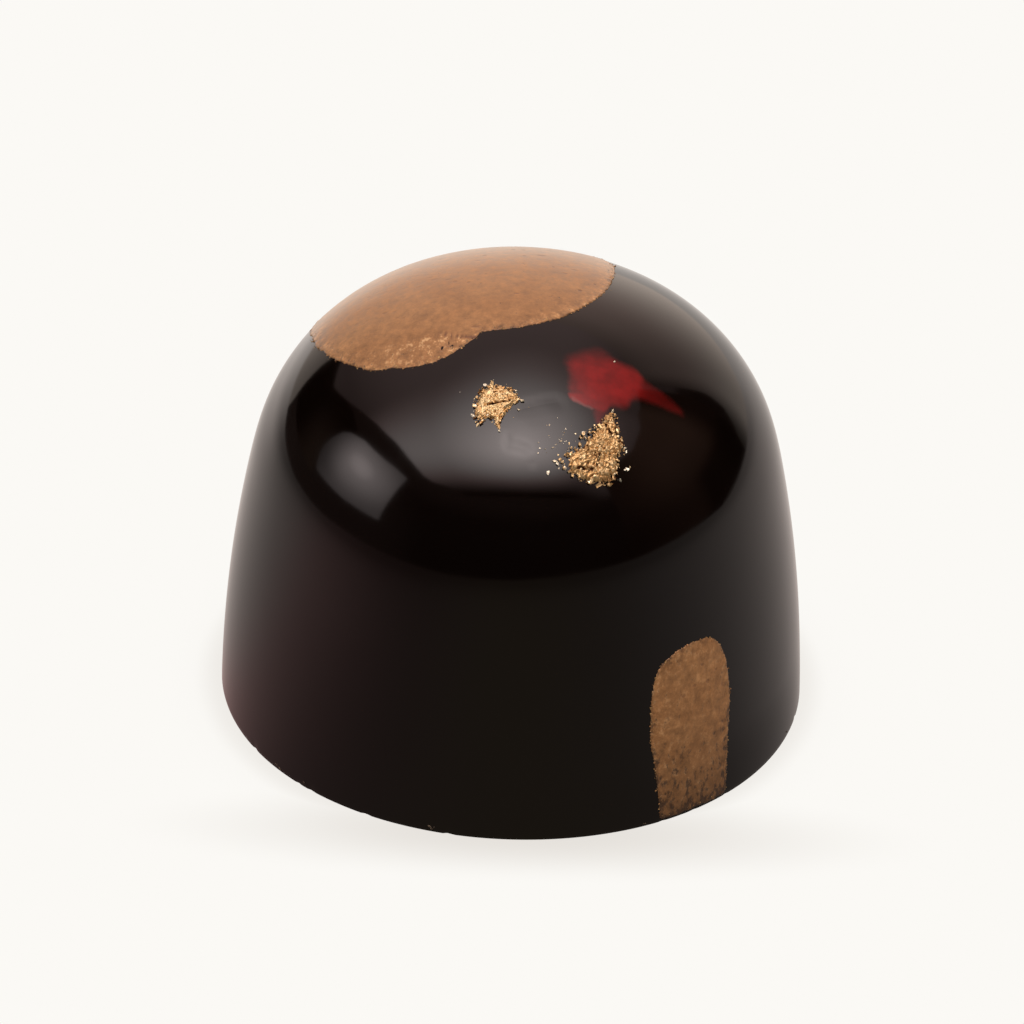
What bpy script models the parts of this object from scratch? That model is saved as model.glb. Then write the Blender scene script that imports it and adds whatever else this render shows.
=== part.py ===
"""A moulded dark chocolate praline: a tall round dome on a flat base, with its decoration fused on.

Units are metres, +Z is up, and the origin is the centre of the flat base. +X is to the right and
+Y to the back of the dome as it is usually shown. The outline is three tangent arcs turned about
the axis. Two films of bronze lustre, one brush mark of red cocoa butter and two pinches of gold
flakes stand slightly proud of the shell, and all of them are one solid with it.
"""

import math
import random

import bmesh
import bpy
from mathutils import Matrix, Vector

MM = 0.001

# The dome's outline, from the base up. Angles are those of the outward normal above the horizon.
BASE_RADIUS = 14.0 * MM
BASE_EDGE_RADIUS = 0.3 * MM
BASE_ANGLE = math.radians(1.0)
WALL_RADIUS = 66.5 * MM
SHOULDER_ANGLE = math.radians(12.4)
SHOULDER_RADIUS = 9.7 * MM
CROWN_ANGLE = math.radians(60.0)

# How finely the dome is faceted
SIDES = 96
EDGE_STEPS = 3
WALL_STEPS = 5
SHOULDER_STEPS = 12
CROWN_STEPS = 8

# The decoration's films
FILM_LIFT = 0.12 * MM
BRUSH_MARK_LIFT = 0.09 * MM
FILM_ROOT = 0.35 * MM
HEART_DEPTH = 1.2 * MM
FILM_RINGS = (0.3, 0.55, 0.75, 0.9, 1.0)

# Outlines seen from above, in millimetres: x to the right, y to the back
CROWN_FILM = (
    (-9.7, 0.7), (-8.8, -1.9), (-7.0, -4.0), (-4.5, -4.7), (-2.8, -4.1), (-1.8, -3.1),
    (0.0, -2.9), (2.1, -1.7), (3.9, 1.3), (4.3, 4.6), (3.0, 8.0), (-0.6, 10.3),
    (-5.0, 10.1), (-8.6, 7.4), (-10.1, 3.9),
)
CROWN_FILM_HEART = (-3.0, 2.2)
BRUSH_MARK = (
    (2.3, -4.9), (3.5, -3.5), (5.2, -4.0), (6.6, -4.8), (7.65, -5.4), (6.4, -5.85),
    (5.4, -6.1), (4.6, -6.6), (3.7, -7.35), (3.0, -7.0), (2.3, -6.6), (2.5, -5.9),
)
BRUSH_MARK_HEART = (3.7, -5.3)
LEFT_GOLD = (
    (-1.6, -6.35), (-2.0, -7.0), (-2.1, -7.6), (-1.85, -8.2), (-1.35, -8.0), (-0.8, -8.5),
    (-0.65, -7.75), (-0.05, -7.2), (-0.1, -6.6), (-0.8, -6.4),
)
RIGHT_GOLD = (
    (4.3, -6.95), (4.65, -7.6), (4.75, -8.3), (4.9, -9.0), (4.5, -9.55), (3.6, -9.95),
    (2.6, -9.95), (1.9, -9.5), (2.4, -8.9), (3.0, -8.2), (3.6, -7.6),
)
STRAY_GOLD = ((1.45, -9.9), (0.95, -9.3), (1.3, -9.1), (1.95, -8.7), (5.15, -9.05), (0.15, -7.1))

# The stripe on the wall: its outline as degrees round the axis and millimetres above the base
STRIPE = (
    (-59.9, 0.35), (-60.3, 2.6), (-61.3, 5.0), (-60.4, 7.2), (-57.2, 8.5), (-50.8, 8.85),
    (-45.0, 8.6), (-41.8, 7.5), (-41.0, 5.6), (-41.3, 3.6), (-42.3, 1.5), (-43.1, 0.35),
)
STRIPE_HEART = (-51.0, 4.5)

# How the outlines are drawn
CURVE_STEPS = 8
STRIPE_CURVE_STEPS = 6
BRUSH_CURVE_STEPS = 4
GOLD_CURVE_STEPS = 4
RAGGED_EDGE = 0.09 * MM
SOFT_EDGE = 0.03 * MM
CROWN_SEED = 5
BRUSH_SEED = 7
STRIPE_SEED = 9

# The gold flakes: thin crumpled plates, half sunk in the shell
LEFT_FLAKES = 34
RIGHT_FLAKES = 66
FLAKE_RADIUS = (0.13 * MM, 0.28 * MM)
STRAY_RADIUS = 0.11 * MM
FLAKE_THICKNESS = 0.13 * MM
FLAKE_LIFT = (-0.01 * MM, 0.12 * MM)
FLAKE_TILT = math.radians(28.0)
FLAKE_CORNERS = 6
CORNER_WANDER = 0.3
CORNER_REACH = (0.7, 1.15)
SPOT_TRIES = 6
GOLD_SEED = 13

# Finishes: name, linear colour, roughness and metallic value
DARK_CHOCOLATE = ("dark_chocolate", (0.013, 0.008, 0.006), 0.12, 0.0)
BRONZE_LUSTRE = ("bronze_lustre", (0.45, 0.22, 0.11), 0.5, 0.5)
RED_COCOA_BUTTER = ("red_cocoa_butter", (0.20, 0.016, 0.014), 0.15, 0.0)
GOLD_LEAF = ("gold_leaf", (0.83, 0.50, 0.20), 0.3, 1.0)

SHARP_ANGLE = math.radians(30.0)
MERGE = 1e-7


def crown_radius():
    """Radius of the crown's arc, whose centre is on the axis."""
    return shoulder_point(CROWN_ANGLE)[0] / math.cos(CROWN_ANGLE)


def wall_point(angle):
    """Radius and height of the wall where its normal rises at this angle."""
    radius = BASE_RADIUS + WALL_RADIUS * (math.cos(angle) - math.cos(BASE_ANGLE))
    height = WALL_RADIUS * (math.sin(angle) - math.sin(BASE_ANGLE))
    return radius, height


def shoulder_point(angle):
    """Radius and height of the shoulder where its normal rises at this angle."""
    start_radius, start_height = wall_point(SHOULDER_ANGLE)
    radius = start_radius + SHOULDER_RADIUS * (math.cos(angle) - math.cos(SHOULDER_ANGLE))
    height = start_height + SHOULDER_RADIUS * (math.sin(angle) - math.sin(SHOULDER_ANGLE))
    return radius, height


def crown_point(angle):
    """Radius and height of the crown where its normal rises at this angle."""
    start_height = shoulder_point(CROWN_ANGLE)[1]
    radius = crown_radius() * math.cos(angle)
    height = start_height + crown_radius() * (math.sin(angle) - math.sin(CROWN_ANGLE))
    return radius, height


def steps_between(first, last, count):
    """The values after first, up to last, in equal steps."""
    return [first + (last - first) * step / count for step in range(1, count + 1)]


def wall_angle_at(height):
    """Angle of the wall's normal at a height above the base."""
    return math.asin(height / WALL_RADIUS + math.sin(BASE_ANGLE))


def dome_outline():
    """Half section of the dome from the flat base's rim to the top of the axis."""
    edge_angle = wall_angle_at(BASE_EDGE_RADIUS)
    edge_outer = wall_point(edge_angle)[0]
    edge_centre = edge_outer - BASE_EDGE_RADIUS
    points = [(edge_centre, 0.0)]
    for angle in steps_between(-math.pi / 2, 0.0, EDGE_STEPS):
        points.append((
            edge_centre + BASE_EDGE_RADIUS * math.cos(angle),
            BASE_EDGE_RADIUS + BASE_EDGE_RADIUS * math.sin(angle),
        ))
    points += [wall_point(a) for a in steps_between(edge_angle, SHOULDER_ANGLE, WALL_STEPS)]
    points += [shoulder_point(a) for a in steps_between(SHOULDER_ANGLE, CROWN_ANGLE, SHOULDER_STEPS)]
    points += [crown_point(a) for a in steps_between(CROWN_ANGLE, math.pi / 2, CROWN_STEPS)]
    return points


def surface_frame(radius, height, azimuth, angle, lift):
    """A point lifted off the dome and the outward normal there."""
    normal = Vector((
        math.cos(azimuth) * math.cos(angle),
        math.sin(azimuth) * math.cos(angle),
        math.sin(angle),
    ))
    point = Vector((radius * math.cos(azimuth), radius * math.sin(azimuth), height))
    return point + normal * lift, normal


def on_dome(x, y, lift):
    """The point of the shoulder or crown straight below (x, y), lifted, and its normal."""
    radius = math.hypot(x, y)
    if radius <= crown_point(CROWN_ANGLE)[0]:
        angle = math.acos(radius / crown_radius())
        height = crown_point(angle)[1]
    else:
        reach = radius - wall_point(SHOULDER_ANGLE)[0]
        angle = math.acos(reach / SHOULDER_RADIUS + math.cos(SHOULDER_ANGLE))
        height = shoulder_point(angle)[1]
    return surface_frame(radius, height, math.atan2(y, x), angle, lift)


def on_wall(degrees, height, lift):
    """The point of the wall at this bearing and height, lifted, and its normal."""
    angle = wall_angle_at(height)
    return surface_frame(wall_point(angle)[0], height, math.radians(degrees), angle, lift)


def smooth_loop(corners, steps):
    """A closed Catmull-Rom curve through the corners, with this many points for each."""
    points = []
    count = len(corners)
    for i in range(count):
        a, b, c, d = (Vector(corners[(i + k) % count]) for k in (-1, 0, 1, 2))
        for step in range(steps):
            t = step / steps
            points.append(0.5 * (
                2 * b + (c - a) * t
                + (2 * a - 5 * b + 4 * c - d) * t ** 2
                + (3 * b - a - 3 * c + d) * t ** 3
            ))
    return points


def ragged_loop(points, heart, amount, seed):
    """The loop with each point moved towards or away from its heart by up to the amount."""
    draw = random.Random(seed)
    moved = []
    for point in points:
        away = (point - heart).normalized()
        moved.append(point + away * draw.uniform(-amount, amount))
    return moved


def new_material(name, colour, roughness, metallic):
    """A plain Principled material."""
    material = bpy.data.materials.new(name)
    material.use_nodes = True
    shader = material.node_tree.nodes["Principled BSDF"]
    shader.inputs["Base Color"].default_value = (*colour, 1.0)
    shader.inputs["Roughness"].default_value = roughness
    shader.inputs["Metallic"].default_value = metallic
    return material


def object_from_bmesh(name, mesh_data, material, collection):
    """A mesh object of one material, with its faces turned outwards."""
    bmesh.ops.recalc_face_normals(mesh_data, faces=mesh_data.faces)
    mesh = bpy.data.meshes.new(name)
    mesh_data.to_mesh(mesh)
    mesh_data.free()
    mesh.materials.append(material)
    made = bpy.data.objects.new(name, mesh)
    collection.objects.link(made)
    return made


def make_dome(material):
    """The plain shell, turned from its outline and closed by the flat base."""
    turned = bmesh.new()
    profile = [turned.verts.new((radius, 0.0, height)) for radius, height in dome_outline()]
    edges = [turned.edges.new(pair) for pair in zip(profile, profile[1:])]
    bmesh.ops.spin(
        turned, geom=profile + edges, cent=(0, 0, 0), axis=(0, 0, 1),
        angle=math.tau, steps=SIDES, use_duplicate=False,
    )
    bmesh.ops.remove_doubles(turned, verts=turned.verts, dist=MERGE)
    bmesh.ops.holes_fill(turned, edges=turned.edges, sides=SIDES)
    return object_from_bmesh("praline", turned, material, bpy.context.scene.collection)


def make_film(name, loop, heart, place, lift, material, collection):
    """A thin film that follows the dome inside a loop, with a root below the surface.

    The loop and the heart are in the flat coordinates that place() puts on the dome.
    """
    film = bmesh.new()
    centre = film.verts.new(place(*heart, lift)[0])
    rings = [
        [film.verts.new(place(*heart.lerp(point, share), lift)[0]) for point in loop]
        for share in FILM_RINGS
    ]
    rings.append([film.verts.new(place(*point, -FILM_ROOT)[0]) for point in loop])
    under = film.verts.new(place(*heart, -HEART_DEPTH)[0])
    count = len(loop)
    for i in range(count):
        j = (i + 1) % count
        film.faces.new((centre, rings[0][i], rings[0][j]))
        for inner, outer in zip(rings, rings[1:]):
            film.faces.new((inner[i], outer[i], outer[j], inner[j]))
        film.faces.new((under, rings[-1][j], rings[-1][i]))
    return object_from_bmesh(name, film, material, collection)


def make_flake(spot, radius, draw, material, collection):
    """One thin six-cornered gold flake, tilted and half sunk at a spot seen from above."""
    point, normal = on_dome(*spot, draw.uniform(*FLAKE_LIFT))
    tilt = Matrix.Rotation(draw.uniform(0, FLAKE_TILT), 3, Vector((1, 0, 0)))
    turn = Matrix.Rotation(draw.uniform(0, math.tau), 3, Vector((0, 0, 1)))
    stand = normal.to_track_quat("Z", "Y").to_matrix() @ turn @ tilt
    flake = bmesh.new()
    corners = []
    for k in range(FLAKE_CORNERS):
        around = math.tau * (k + draw.uniform(-CORNER_WANDER, CORNER_WANDER)) / FLAKE_CORNERS
        reach = radius * draw.uniform(*CORNER_REACH)
        corners.append(Vector((reach * math.cos(around), reach * math.sin(around), 0)))
    half = Vector((0, 0, FLAKE_THICKNESS / 2))
    upper = [flake.verts.new(point + stand @ (corner + half)) for corner in corners]
    lower = [flake.verts.new(point + stand @ (corner - half)) for corner in corners]
    flake.faces.new(upper)
    flake.faces.new(lower[::-1])
    for i in range(FLAKE_CORNERS):
        j = (i + 1) % FLAKE_CORNERS
        flake.faces.new((upper[j], upper[i], lower[i], lower[j]))
    return object_from_bmesh("gold_flake", flake, material, collection)


def inside_loop(point, loop):
    """Whether a point is inside a closed loop, by counting crossings."""
    crossings = 0
    for a, b in zip(loop, loop[1:] + loop[:1]):
        if (a.y > point.y) != (b.y > point.y):
            if point.x < a.x + (point.y - a.y) * (b.x - a.x) / (b.y - a.y):
                crossings += 1
    return crossings % 2 == 1


def spots_inside(loop, count, draw):
    """Random spots inside a loop, each the one of a few tries that is furthest from the others."""
    low = Vector((min(p.x for p in loop), min(p.y for p in loop)))
    high = Vector((max(p.x for p in loop), max(p.y for p in loop)))
    spots = []
    while len(spots) < count:
        tries = []
        while len(tries) < SPOT_TRIES:
            spot = Vector((draw.uniform(low.x, high.x), draw.uniform(low.y, high.y)))
            if inside_loop(spot, loop):
                tries.append(spot)
        spots.append(max(tries, key=lambda t: min([(t - s).length for s in spots] or [0])))
    return spots


def millimetres(corners):
    """Corners given in millimetres, as vectors in metres."""
    return [Vector(corner) * MM for corner in corners]


def make_films(bronze, red, collection):
    """The two bronze films and the red brush mark."""
    heart = Vector(CROWN_FILM_HEART) * MM
    loop = ragged_loop(smooth_loop(millimetres(CROWN_FILM), CURVE_STEPS), heart, RAGGED_EDGE, CROWN_SEED)
    make_film("bronze_crown", loop, heart, on_dome, FILM_LIFT, bronze, collection)

    heart = Vector(BRUSH_MARK_HEART) * MM
    loop = smooth_loop(millimetres(BRUSH_MARK), BRUSH_CURVE_STEPS)
    loop = ragged_loop(loop, heart, SOFT_EDGE, BRUSH_SEED)
    make_film("red_brush_mark", loop, heart, on_dome, BRUSH_MARK_LIFT, red, collection)

    # The stripe is drawn as arc length round the base against height, so its edge is even.
    arc = math.radians(1) * BASE_RADIUS
    heart = Vector((STRIPE_HEART[0] * arc, STRIPE_HEART[1] * MM))
    corners = [Vector((bearing * arc, height * MM)) for bearing, height in STRIPE]
    low = STRIPE[0][1] * MM
    loop = ragged_loop(smooth_loop(corners, STRIPE_CURVE_STEPS), heart, RAGGED_EDGE, STRIPE_SEED)
    for point in loop:
        point.y = max(point.y, low)

    def place(along, height, lift):
        return on_wall(along / arc, height, lift)

    make_film("bronze_stripe", loop, heart, place, FILM_LIFT, bronze, collection)


def make_gold(gold, collection):
    """The two pinches of gold flakes and the few that strayed."""
    draw = random.Random(GOLD_SEED)
    for corners, count in ((LEFT_GOLD, LEFT_FLAKES), (RIGHT_GOLD, RIGHT_FLAKES)):
        loop = smooth_loop(millimetres(corners), GOLD_CURVE_STEPS)
        for spot in spots_inside(loop, count, draw):
            make_flake(spot, draw.uniform(*FLAKE_RADIUS), draw, gold, collection)
    for spot in millimetres(STRAY_GOLD):
        make_flake(spot, STRAY_RADIUS, draw, gold, collection)


def fuse(dome, collection):
    """Joins everything in the collection to the dome, and removes what was joined."""
    union = dome.modifiers.new("Fuse decoration", "BOOLEAN")
    union.operation = "UNION"
    union.solver = "EXACT"
    union.operand_type = "COLLECTION"
    union.collection = collection
    union.material_mode = "TRANSFER"
    bpy.context.view_layer.objects.active = dome
    bpy.ops.object.modifier_apply(modifier=union.name)
    for joined in list(collection.objects):
        bpy.data.objects.remove(joined)
    bpy.data.collections.remove(collection)


def keep_outer_skin(dome):
    """Fills hollows that the fusing sealed, and drops loose scraps, by keeping the largest shell."""
    skin = bmesh.new()
    skin.from_mesh(dome.data)
    bmesh.ops.remove_doubles(skin, verts=skin.verts, dist=MERGE)
    waiting = set(skin.verts)
    shells = []
    while waiting:
        front = [waiting.pop()]
        shell = set(front)
        while front:
            for edge in front.pop().link_edges:
                for vertex in edge.verts:
                    if vertex in waiting:
                        waiting.remove(vertex)
                        shell.add(vertex)
                        front.append(vertex)
        shells.append(shell)
    largest = max(shells, key=len)
    loose = [vertex for vertex in skin.verts if vertex not in largest]
    bmesh.ops.delete(skin, geom=loose, context="VERTS")
    skin.to_mesh(dome.data)
    skin.free()


def shade(dome):
    """Smooth shading, with the films' edges and the flakes kept crisp."""
    dome.data.shade_smooth()
    dome.data.set_sharp_from_angle(angle=SHARP_ANGLE)


def main():
    """Builds the praline as one object."""
    for old in list(bpy.data.objects):
        bpy.data.objects.remove(old)
    bronze = new_material(*BRONZE_LUSTRE)
    red = new_material(*RED_COCOA_BUTTER)
    gold = new_material(*GOLD_LEAF)
    dome = make_dome(new_material(*DARK_CHOCOLATE))
    decoration = bpy.data.collections.new("decoration")
    bpy.context.scene.collection.children.link(decoration)
    make_films(bronze, red, decoration)
    make_gold(gold, decoration)
    fuse(dome, decoration)
    keep_outer_skin(dome)
    shade(dome)


main()
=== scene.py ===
"""The looks of a moulded dark chocolate praline with bronze lustre, a red brush mark and gold flakes.

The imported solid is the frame. A finely turned shell replaces it, and the decoration is modelled on
the shell: two lustre films with grainy rims, and pinches of crumpled gold. Sizes are in metres, +Z
is up, and +Y is the back of the praline as it is usually shown.
"""

from __future__ import annotations

import logging
import math
import random
from collections.abc import Callable, Sequence
from dataclasses import dataclass, field
from enum import Enum
from functools import cached_property

import bpy
import numpy as np
from mathutils import Euler, Matrix, Vector, noise
from mathutils.kdtree import KDTree

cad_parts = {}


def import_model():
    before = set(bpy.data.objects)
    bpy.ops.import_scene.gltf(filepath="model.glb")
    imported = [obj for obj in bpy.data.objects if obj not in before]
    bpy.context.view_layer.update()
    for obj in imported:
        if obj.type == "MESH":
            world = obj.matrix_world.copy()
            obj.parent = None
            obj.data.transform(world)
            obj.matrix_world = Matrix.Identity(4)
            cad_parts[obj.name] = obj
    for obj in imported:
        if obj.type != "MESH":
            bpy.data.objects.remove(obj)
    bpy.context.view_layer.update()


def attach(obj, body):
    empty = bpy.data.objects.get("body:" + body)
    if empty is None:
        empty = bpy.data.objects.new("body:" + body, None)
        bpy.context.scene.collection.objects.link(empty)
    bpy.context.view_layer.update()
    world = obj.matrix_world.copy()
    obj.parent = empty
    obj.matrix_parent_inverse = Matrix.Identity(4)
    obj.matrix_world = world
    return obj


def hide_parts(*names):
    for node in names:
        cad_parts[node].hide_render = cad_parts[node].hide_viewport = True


LOG = logging.getLogger("praline")

MM = 0.001
NODE = "praline"
BODY = "root"

Colour = tuple[float, float, float]
Socket = bpy.types.NodeSocket
Piece = bpy.types.Object
Value = float | Sequence[float] | Socket
Point2 = tuple[float, float]
Span = tuple[float, float]
ORIGIN = (0.0, 0.0, 0.0)
FROM_ABOVE = (1.0, 1.0, 0.0)


def in_mm(*pairs: Point2) -> tuple[Point2, ...]:
    """Gives points that are written in millimetres in metres."""
    return tuple((x * MM, y * MM) for x, y in pairs)


class Slot(Enum):
    """Names for the praline's material slots."""

    CHOCOLATE = "dark_chocolate"
    BRONZE = "bronze_lustre"
    RED = "red_cocoa_butter"
    GOLD = "gold_leaf"


# Laying out nodes

class NodeSheet:
    """Lays out the nodes of one material, world or group.

    Args:
        tree: the node tree to fill.
    """

    def __init__(self, tree: bpy.types.NodeTree) -> None:
        """Keeps the tree."""
        self.tree = tree

    def feed(self, socket: Socket, value: Value) -> None:
        """Links a socket to another, or sets its value. A colour without an alpha is opaque.

        Args:
            socket: the input to feed.
            value: another node's output, or a plain value.
        """
        if isinstance(value, Socket):
            self.tree.links.new(value, socket)
        elif socket.type == "RGBA" and len(value) == 3:
            socket.default_value = (*value, 1.0)
        else:
            socket.default_value = value

    def feed_all(self, node: bpy.types.Node, values: dict[str | int, Value]) -> None:
        """Feeds several inputs of a node, by name or by number."""
        for key, value in values.items():
            self.feed(node.inputs[key], value)

    def add(
        self, kind: str, values: dict[str | int, Value] | None = None, **settings: object
    ) -> bpy.types.Node:
        """Adds a node.

        Args:
            kind: the node's type name.
            values: what feeds its inputs, by name or by number.
            settings: the node's own settings.

        Returns:
            The new node.
        """
        node = self.tree.nodes.new(kind)
        for name, setting in settings.items():
            setattr(node, name, setting)
        self.feed_all(node, values or {})
        return node

    def group(self, tree: bpy.types.NodeTree, values: dict[str | int, Value]) -> Socket:
        """Places a shared effect with its own values and gives its output."""
        return self.add("ShaderNodeGroup", values, node_tree=tree).outputs[0]

    def math(self, operation: str, *values: Value, clamp: bool = False) -> Socket:
        """Adds a Math node.

        Args:
            operation: its operation.
            values: its inputs in order.
            clamp: whether the result stays between 0 and 1.

        Returns:
            Its output.
        """
        node = self.add("ShaderNodeMath", dict(enumerate(values)), operation=operation, use_clamp=clamp)
        return node.outputs[0]

    def product(self, first: Value, *others: Value) -> Value:
        """Multiplies values, from the first to the last.

        Args:
            first: the first factor.
            others: the other factors.

        Returns:
            The product.
        """
        result = first
        for factor in others:
            result = self.math("MULTIPLY", result, factor)
        return result

    def vector(self, operation: str, *values: Value) -> Socket:
        """Adds a Vector Math node and gives its vector output, or its value for a length."""
        node = self.add("ShaderNodeVectorMath", dict(enumerate(values)), operation=operation)
        return node.outputs["Value" if operation in ("LENGTH", "DISTANCE", "DOT_PRODUCT") else "Vector"]

    def scale(self, vector: Value, factor: Value) -> Socket:
        """Scales a vector."""
        return self.add("ShaderNodeVectorMath", {0: vector, "Scale": factor}, operation="SCALE").outputs[0]

    def coordinate(self, vector: Value, axis: str) -> Socket:
        """Gives one coordinate of a vector."""
        return self.add("ShaderNodeSeparateXYZ", {0: vector}).outputs[axis]

    def grey(self, value: Value) -> Socket:
        """Makes a grey of a value."""
        return self.add("ShaderNodeCombineColor", {0: value, 1: value, 2: value}).outputs[0]

    def fade(
        self, value: Value, start: float, end: float, low: float = 0.0, high: float = 1.0
    ) -> Socket:
        """Maps a value smoothly from one range to another.

        Args:
            value: what is mapped.
            start: where the result is low.
            end: where the result is high.
            low: the result at the start.
            high: the result at the end.

        Returns:
            The mapped value.
        """
        node = self.add(
            "ShaderNodeMapRange",
            {"Value": value, "From Min": start, "From Max": end, "To Min": low, "To Max": high},
            interpolation_type="SMOOTHSTEP",
        )
        return node.outputs["Result"]

    def mix(self, share: Value, first: Value, second: Value, blend: str = "MIX") -> Socket:
        """Mixes two colours.

        Args:
            share: how much of the second there is.
            first: the first colour.
            second: the second colour.
            blend: the way of mixing.

        Returns:
            The mixed colour.
        """
        values = {0: share, 6: first, 7: second}
        return self.add("ShaderNodeMix", values, data_type="RGBA", blend_type=blend).outputs[2]

    def blend(self, share: Value, first: Value, second: Value) -> Socket:
        """Mixes two numbers by a share."""
        return self.add("ShaderNodeMix", {0: share, 2: first, 3: second}, data_type="FLOAT").outputs[0]

    def noise(
        self, place: Value, size: float, detail: float = 2.0, rough: float = 0.5
    ) -> Socket:
        """Adds a noise of features about this large, in metres.

        Args:
            place: where the noise is read.
            size: the size of its features.
            detail: how many finer sizes are added.
            rough: how strong the finer sizes are.

        Returns:
            The noise, from 0 to 1.
        """
        node = self.add(
            "ShaderNodeTexNoise",
            {"Vector": place, "Scale": 1.0 / size, "Detail": detail, "Roughness": rough},
        )
        return node.outputs[0]

    def place(self) -> Socket:
        """Gives the point in the object's own coordinates."""
        return self.add("ShaderNodeTexCoord").outputs["Object"]

    def attribute(self, name: str) -> Socket:
        """Gives a float attribute of the mesh."""
        return self.add("ShaderNodeAttribute", attribute_name=name).outputs["Fac"]

    def bump(self, height: Value, depth: float, normal: Value | None = None) -> Socket:
        """Adds a bump.

        Args:
            height: the relief, from 0 to 1.
            depth: how deep the relief is, in metres.
            normal: the normal that it is laid on.

        Returns:
            The new normal.
        """
        node = self.add("ShaderNodeBump", {"Height": height, "Distance": depth, "Strength": 1.0})
        if normal is not None:
            self.feed(node.inputs["Normal"], normal)
        return node.outputs["Normal"]


def new_material(name: str) -> tuple[bpy.types.Material, NodeSheet, bpy.types.Node]:
    """Makes a material with one Principled shader.

    Args:
        name: the material's name.

    Returns:
        The material, its sheet and its shader.
    """
    material = bpy.data.materials.new(name)
    material.use_nodes = True
    sheet = NodeSheet(material.node_tree)
    return material, sheet, material.node_tree.nodes["Principled BSDF"]


def new_group(
    name: str, inputs: dict[str, Value], output: str
) -> tuple[bpy.types.NodeTree, NodeSheet, dict[str, Socket], Socket]:
    """Makes a shader node group with named sockets.

    Args:
        name: the group's name.
        inputs: each input's default: a number, or a vector.
        output: the name of its one output, a number.

    Returns:
        The group, its sheet, what its inputs give, and the socket that its result feeds.
    """
    group = bpy.data.node_groups.new(name, "ShaderNodeTree")
    for label, value in inputs.items():
        kind = "NodeSocketFloat" if isinstance(value, float) else "NodeSocketVector"
        group.interface.new_socket(label, in_out="INPUT", socket_type=kind).default_value = value
    group.interface.new_socket(output, in_out="OUTPUT", socket_type="NodeSocketFloat")
    sheet = NodeSheet(group)
    given = {socket.name: socket for socket in sheet.add("NodeGroupInput").outputs if socket.name}
    return group, sheet, given, sheet.add("NodeGroupOutput").inputs[output]


class Effects:
    """The effects that several finishes share, each a node group that is built once."""

    def __init__(self) -> None:
        """Builds the groups."""
        self.specks = self.build_specks()
        self.stroke = self.build_stroke()
        self.unevenness = self.build_unevenness()

    @staticmethod
    def build_specks() -> bpy.types.NodeTree:
        """Sparse round or drawn-out specks: some cells of a pattern hold one, and others none.

        Returns:
            The group, whose Mask is 1 inside a speck.
        """
        group, sheet, given, result = new_group(
            "Sparse specks",
            {"Vector": ORIGIN, "Spacing": 0.001, "Radius": 0.15, "Share": 0.5},
            "Mask",
        )
        scale = sheet.math("DIVIDE", 1.0, given["Spacing"])
        cells = sheet.add("ShaderNodeTexVoronoi", {"Vector": given["Vector"], "Scale": scale})
        lottery = sheet.add("ShaderNodeSeparateColor", {0: cells.outputs["Color"]})
        held = sheet.math("LESS_THAN", lottery.outputs[0], given["Share"])
        varied = sheet.fade(lottery.outputs[1], 0.0, 1.0, 0.4, 1.0)
        radius = sheet.product(given["Radius"], varied)
        away = sheet.math("DIVIDE", cells.outputs["Distance"], radius)
        near = sheet.math("SUBTRACT", 1.0, away, clamp=True)
        sheet.feed(result, sheet.product(sheet.fade(near, 0.0, 0.5), held))
        return group

    @staticmethod
    def build_stroke() -> bpy.types.NodeTree:
        """One stroke of a brush, seen from above: a line from a start to an end, as wide as stated at each.

        Returns:
            The group, whose Mask is 1 inside the stroke and fades out over the softness.
        """
        group, sheet, given, result = new_group(
            "Brush stroke",
            {
                "Vector": ORIGIN,
                "Start": ORIGIN,
                "End": ORIGIN,
                "Start Radius": 0.001,
                "End Radius": 0.001,
                "Softness": 0.0003,
            },
            "Mask",
        )
        along = sheet.vector("SUBTRACT", given["End"], given["Start"])
        reach = sheet.vector("SUBTRACT", given["Vector"], given["Start"])
        passed = sheet.vector("DOT_PRODUCT", reach, along)
        share = sheet.math("DIVIDE", passed, sheet.vector("DOT_PRODUCT", along, along), clamp=True)
        distance = sheet.vector("DISTANCE", reach, sheet.scale(along, share))
        radius = sheet.add(
            "ShaderNodeMapRange",
            {"Value": share, "To Min": given["Start Radius"], "To Max": given["End Radius"]},
        ).outputs[0]
        inside = sheet.math("DIVIDE", sheet.math("SUBTRACT", radius, distance), given["Softness"])
        sheet.feed(result, sheet.fade(inside, -1.0, 1.0))
        return group

    @staticmethod
    def build_unevenness() -> bpy.types.NodeTree:
        """A soft unevenness of two sizes.

        Returns:
            The group, whose Height runs from 0 to 1.
        """
        group, sheet, given, result = new_group(
            "Soft unevenness",
            {"Vector": ORIGIN, "Size": 0.001, "Fine Share": 0.3},
            "Height",
        )
        place = given["Vector"]
        scale = sheet.math("DIVIDE", 1.0, given["Size"])
        broad = sheet.add("ShaderNodeTexNoise", {"Vector": place, "Scale": scale, "Detail": 1.0})
        finer = sheet.product(scale, 5.0)
        fine = sheet.add("ShaderNodeTexNoise", {"Vector": place, "Scale": finer, "Detail": 2.0})
        height = sheet.blend(given["Fine Share"], broad.outputs[0], fine.outputs[0])
        sheet.feed(result, height)
        return group


# Finishes

@dataclass(frozen=True)
class Stroke:
    """One stroke of the red mark, its painted highlight or a smear, seen from above in metres."""

    start: Point2
    end: Point2
    start_radius: float
    end_radius: float
    softness: float
    strength: float

    @classmethod
    def of_mm(
        cls, start: Point2, end: Point2, radii: Span, softness: float, strength: float
    ) -> Stroke:
        """Makes a stroke from sizes in millimetres.

        Args:
            start: where it starts.
            end: where it ends.
            radii: half its width at the start and at the end.
            softness: how far its edge fades out.
            strength: its share in the middle, from 0 to 1.

        Returns:
            The stroke.
        """
        return cls(*in_mm(start, end), radii[0] * MM, radii[1] * MM, softness * MM, strength)


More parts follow.
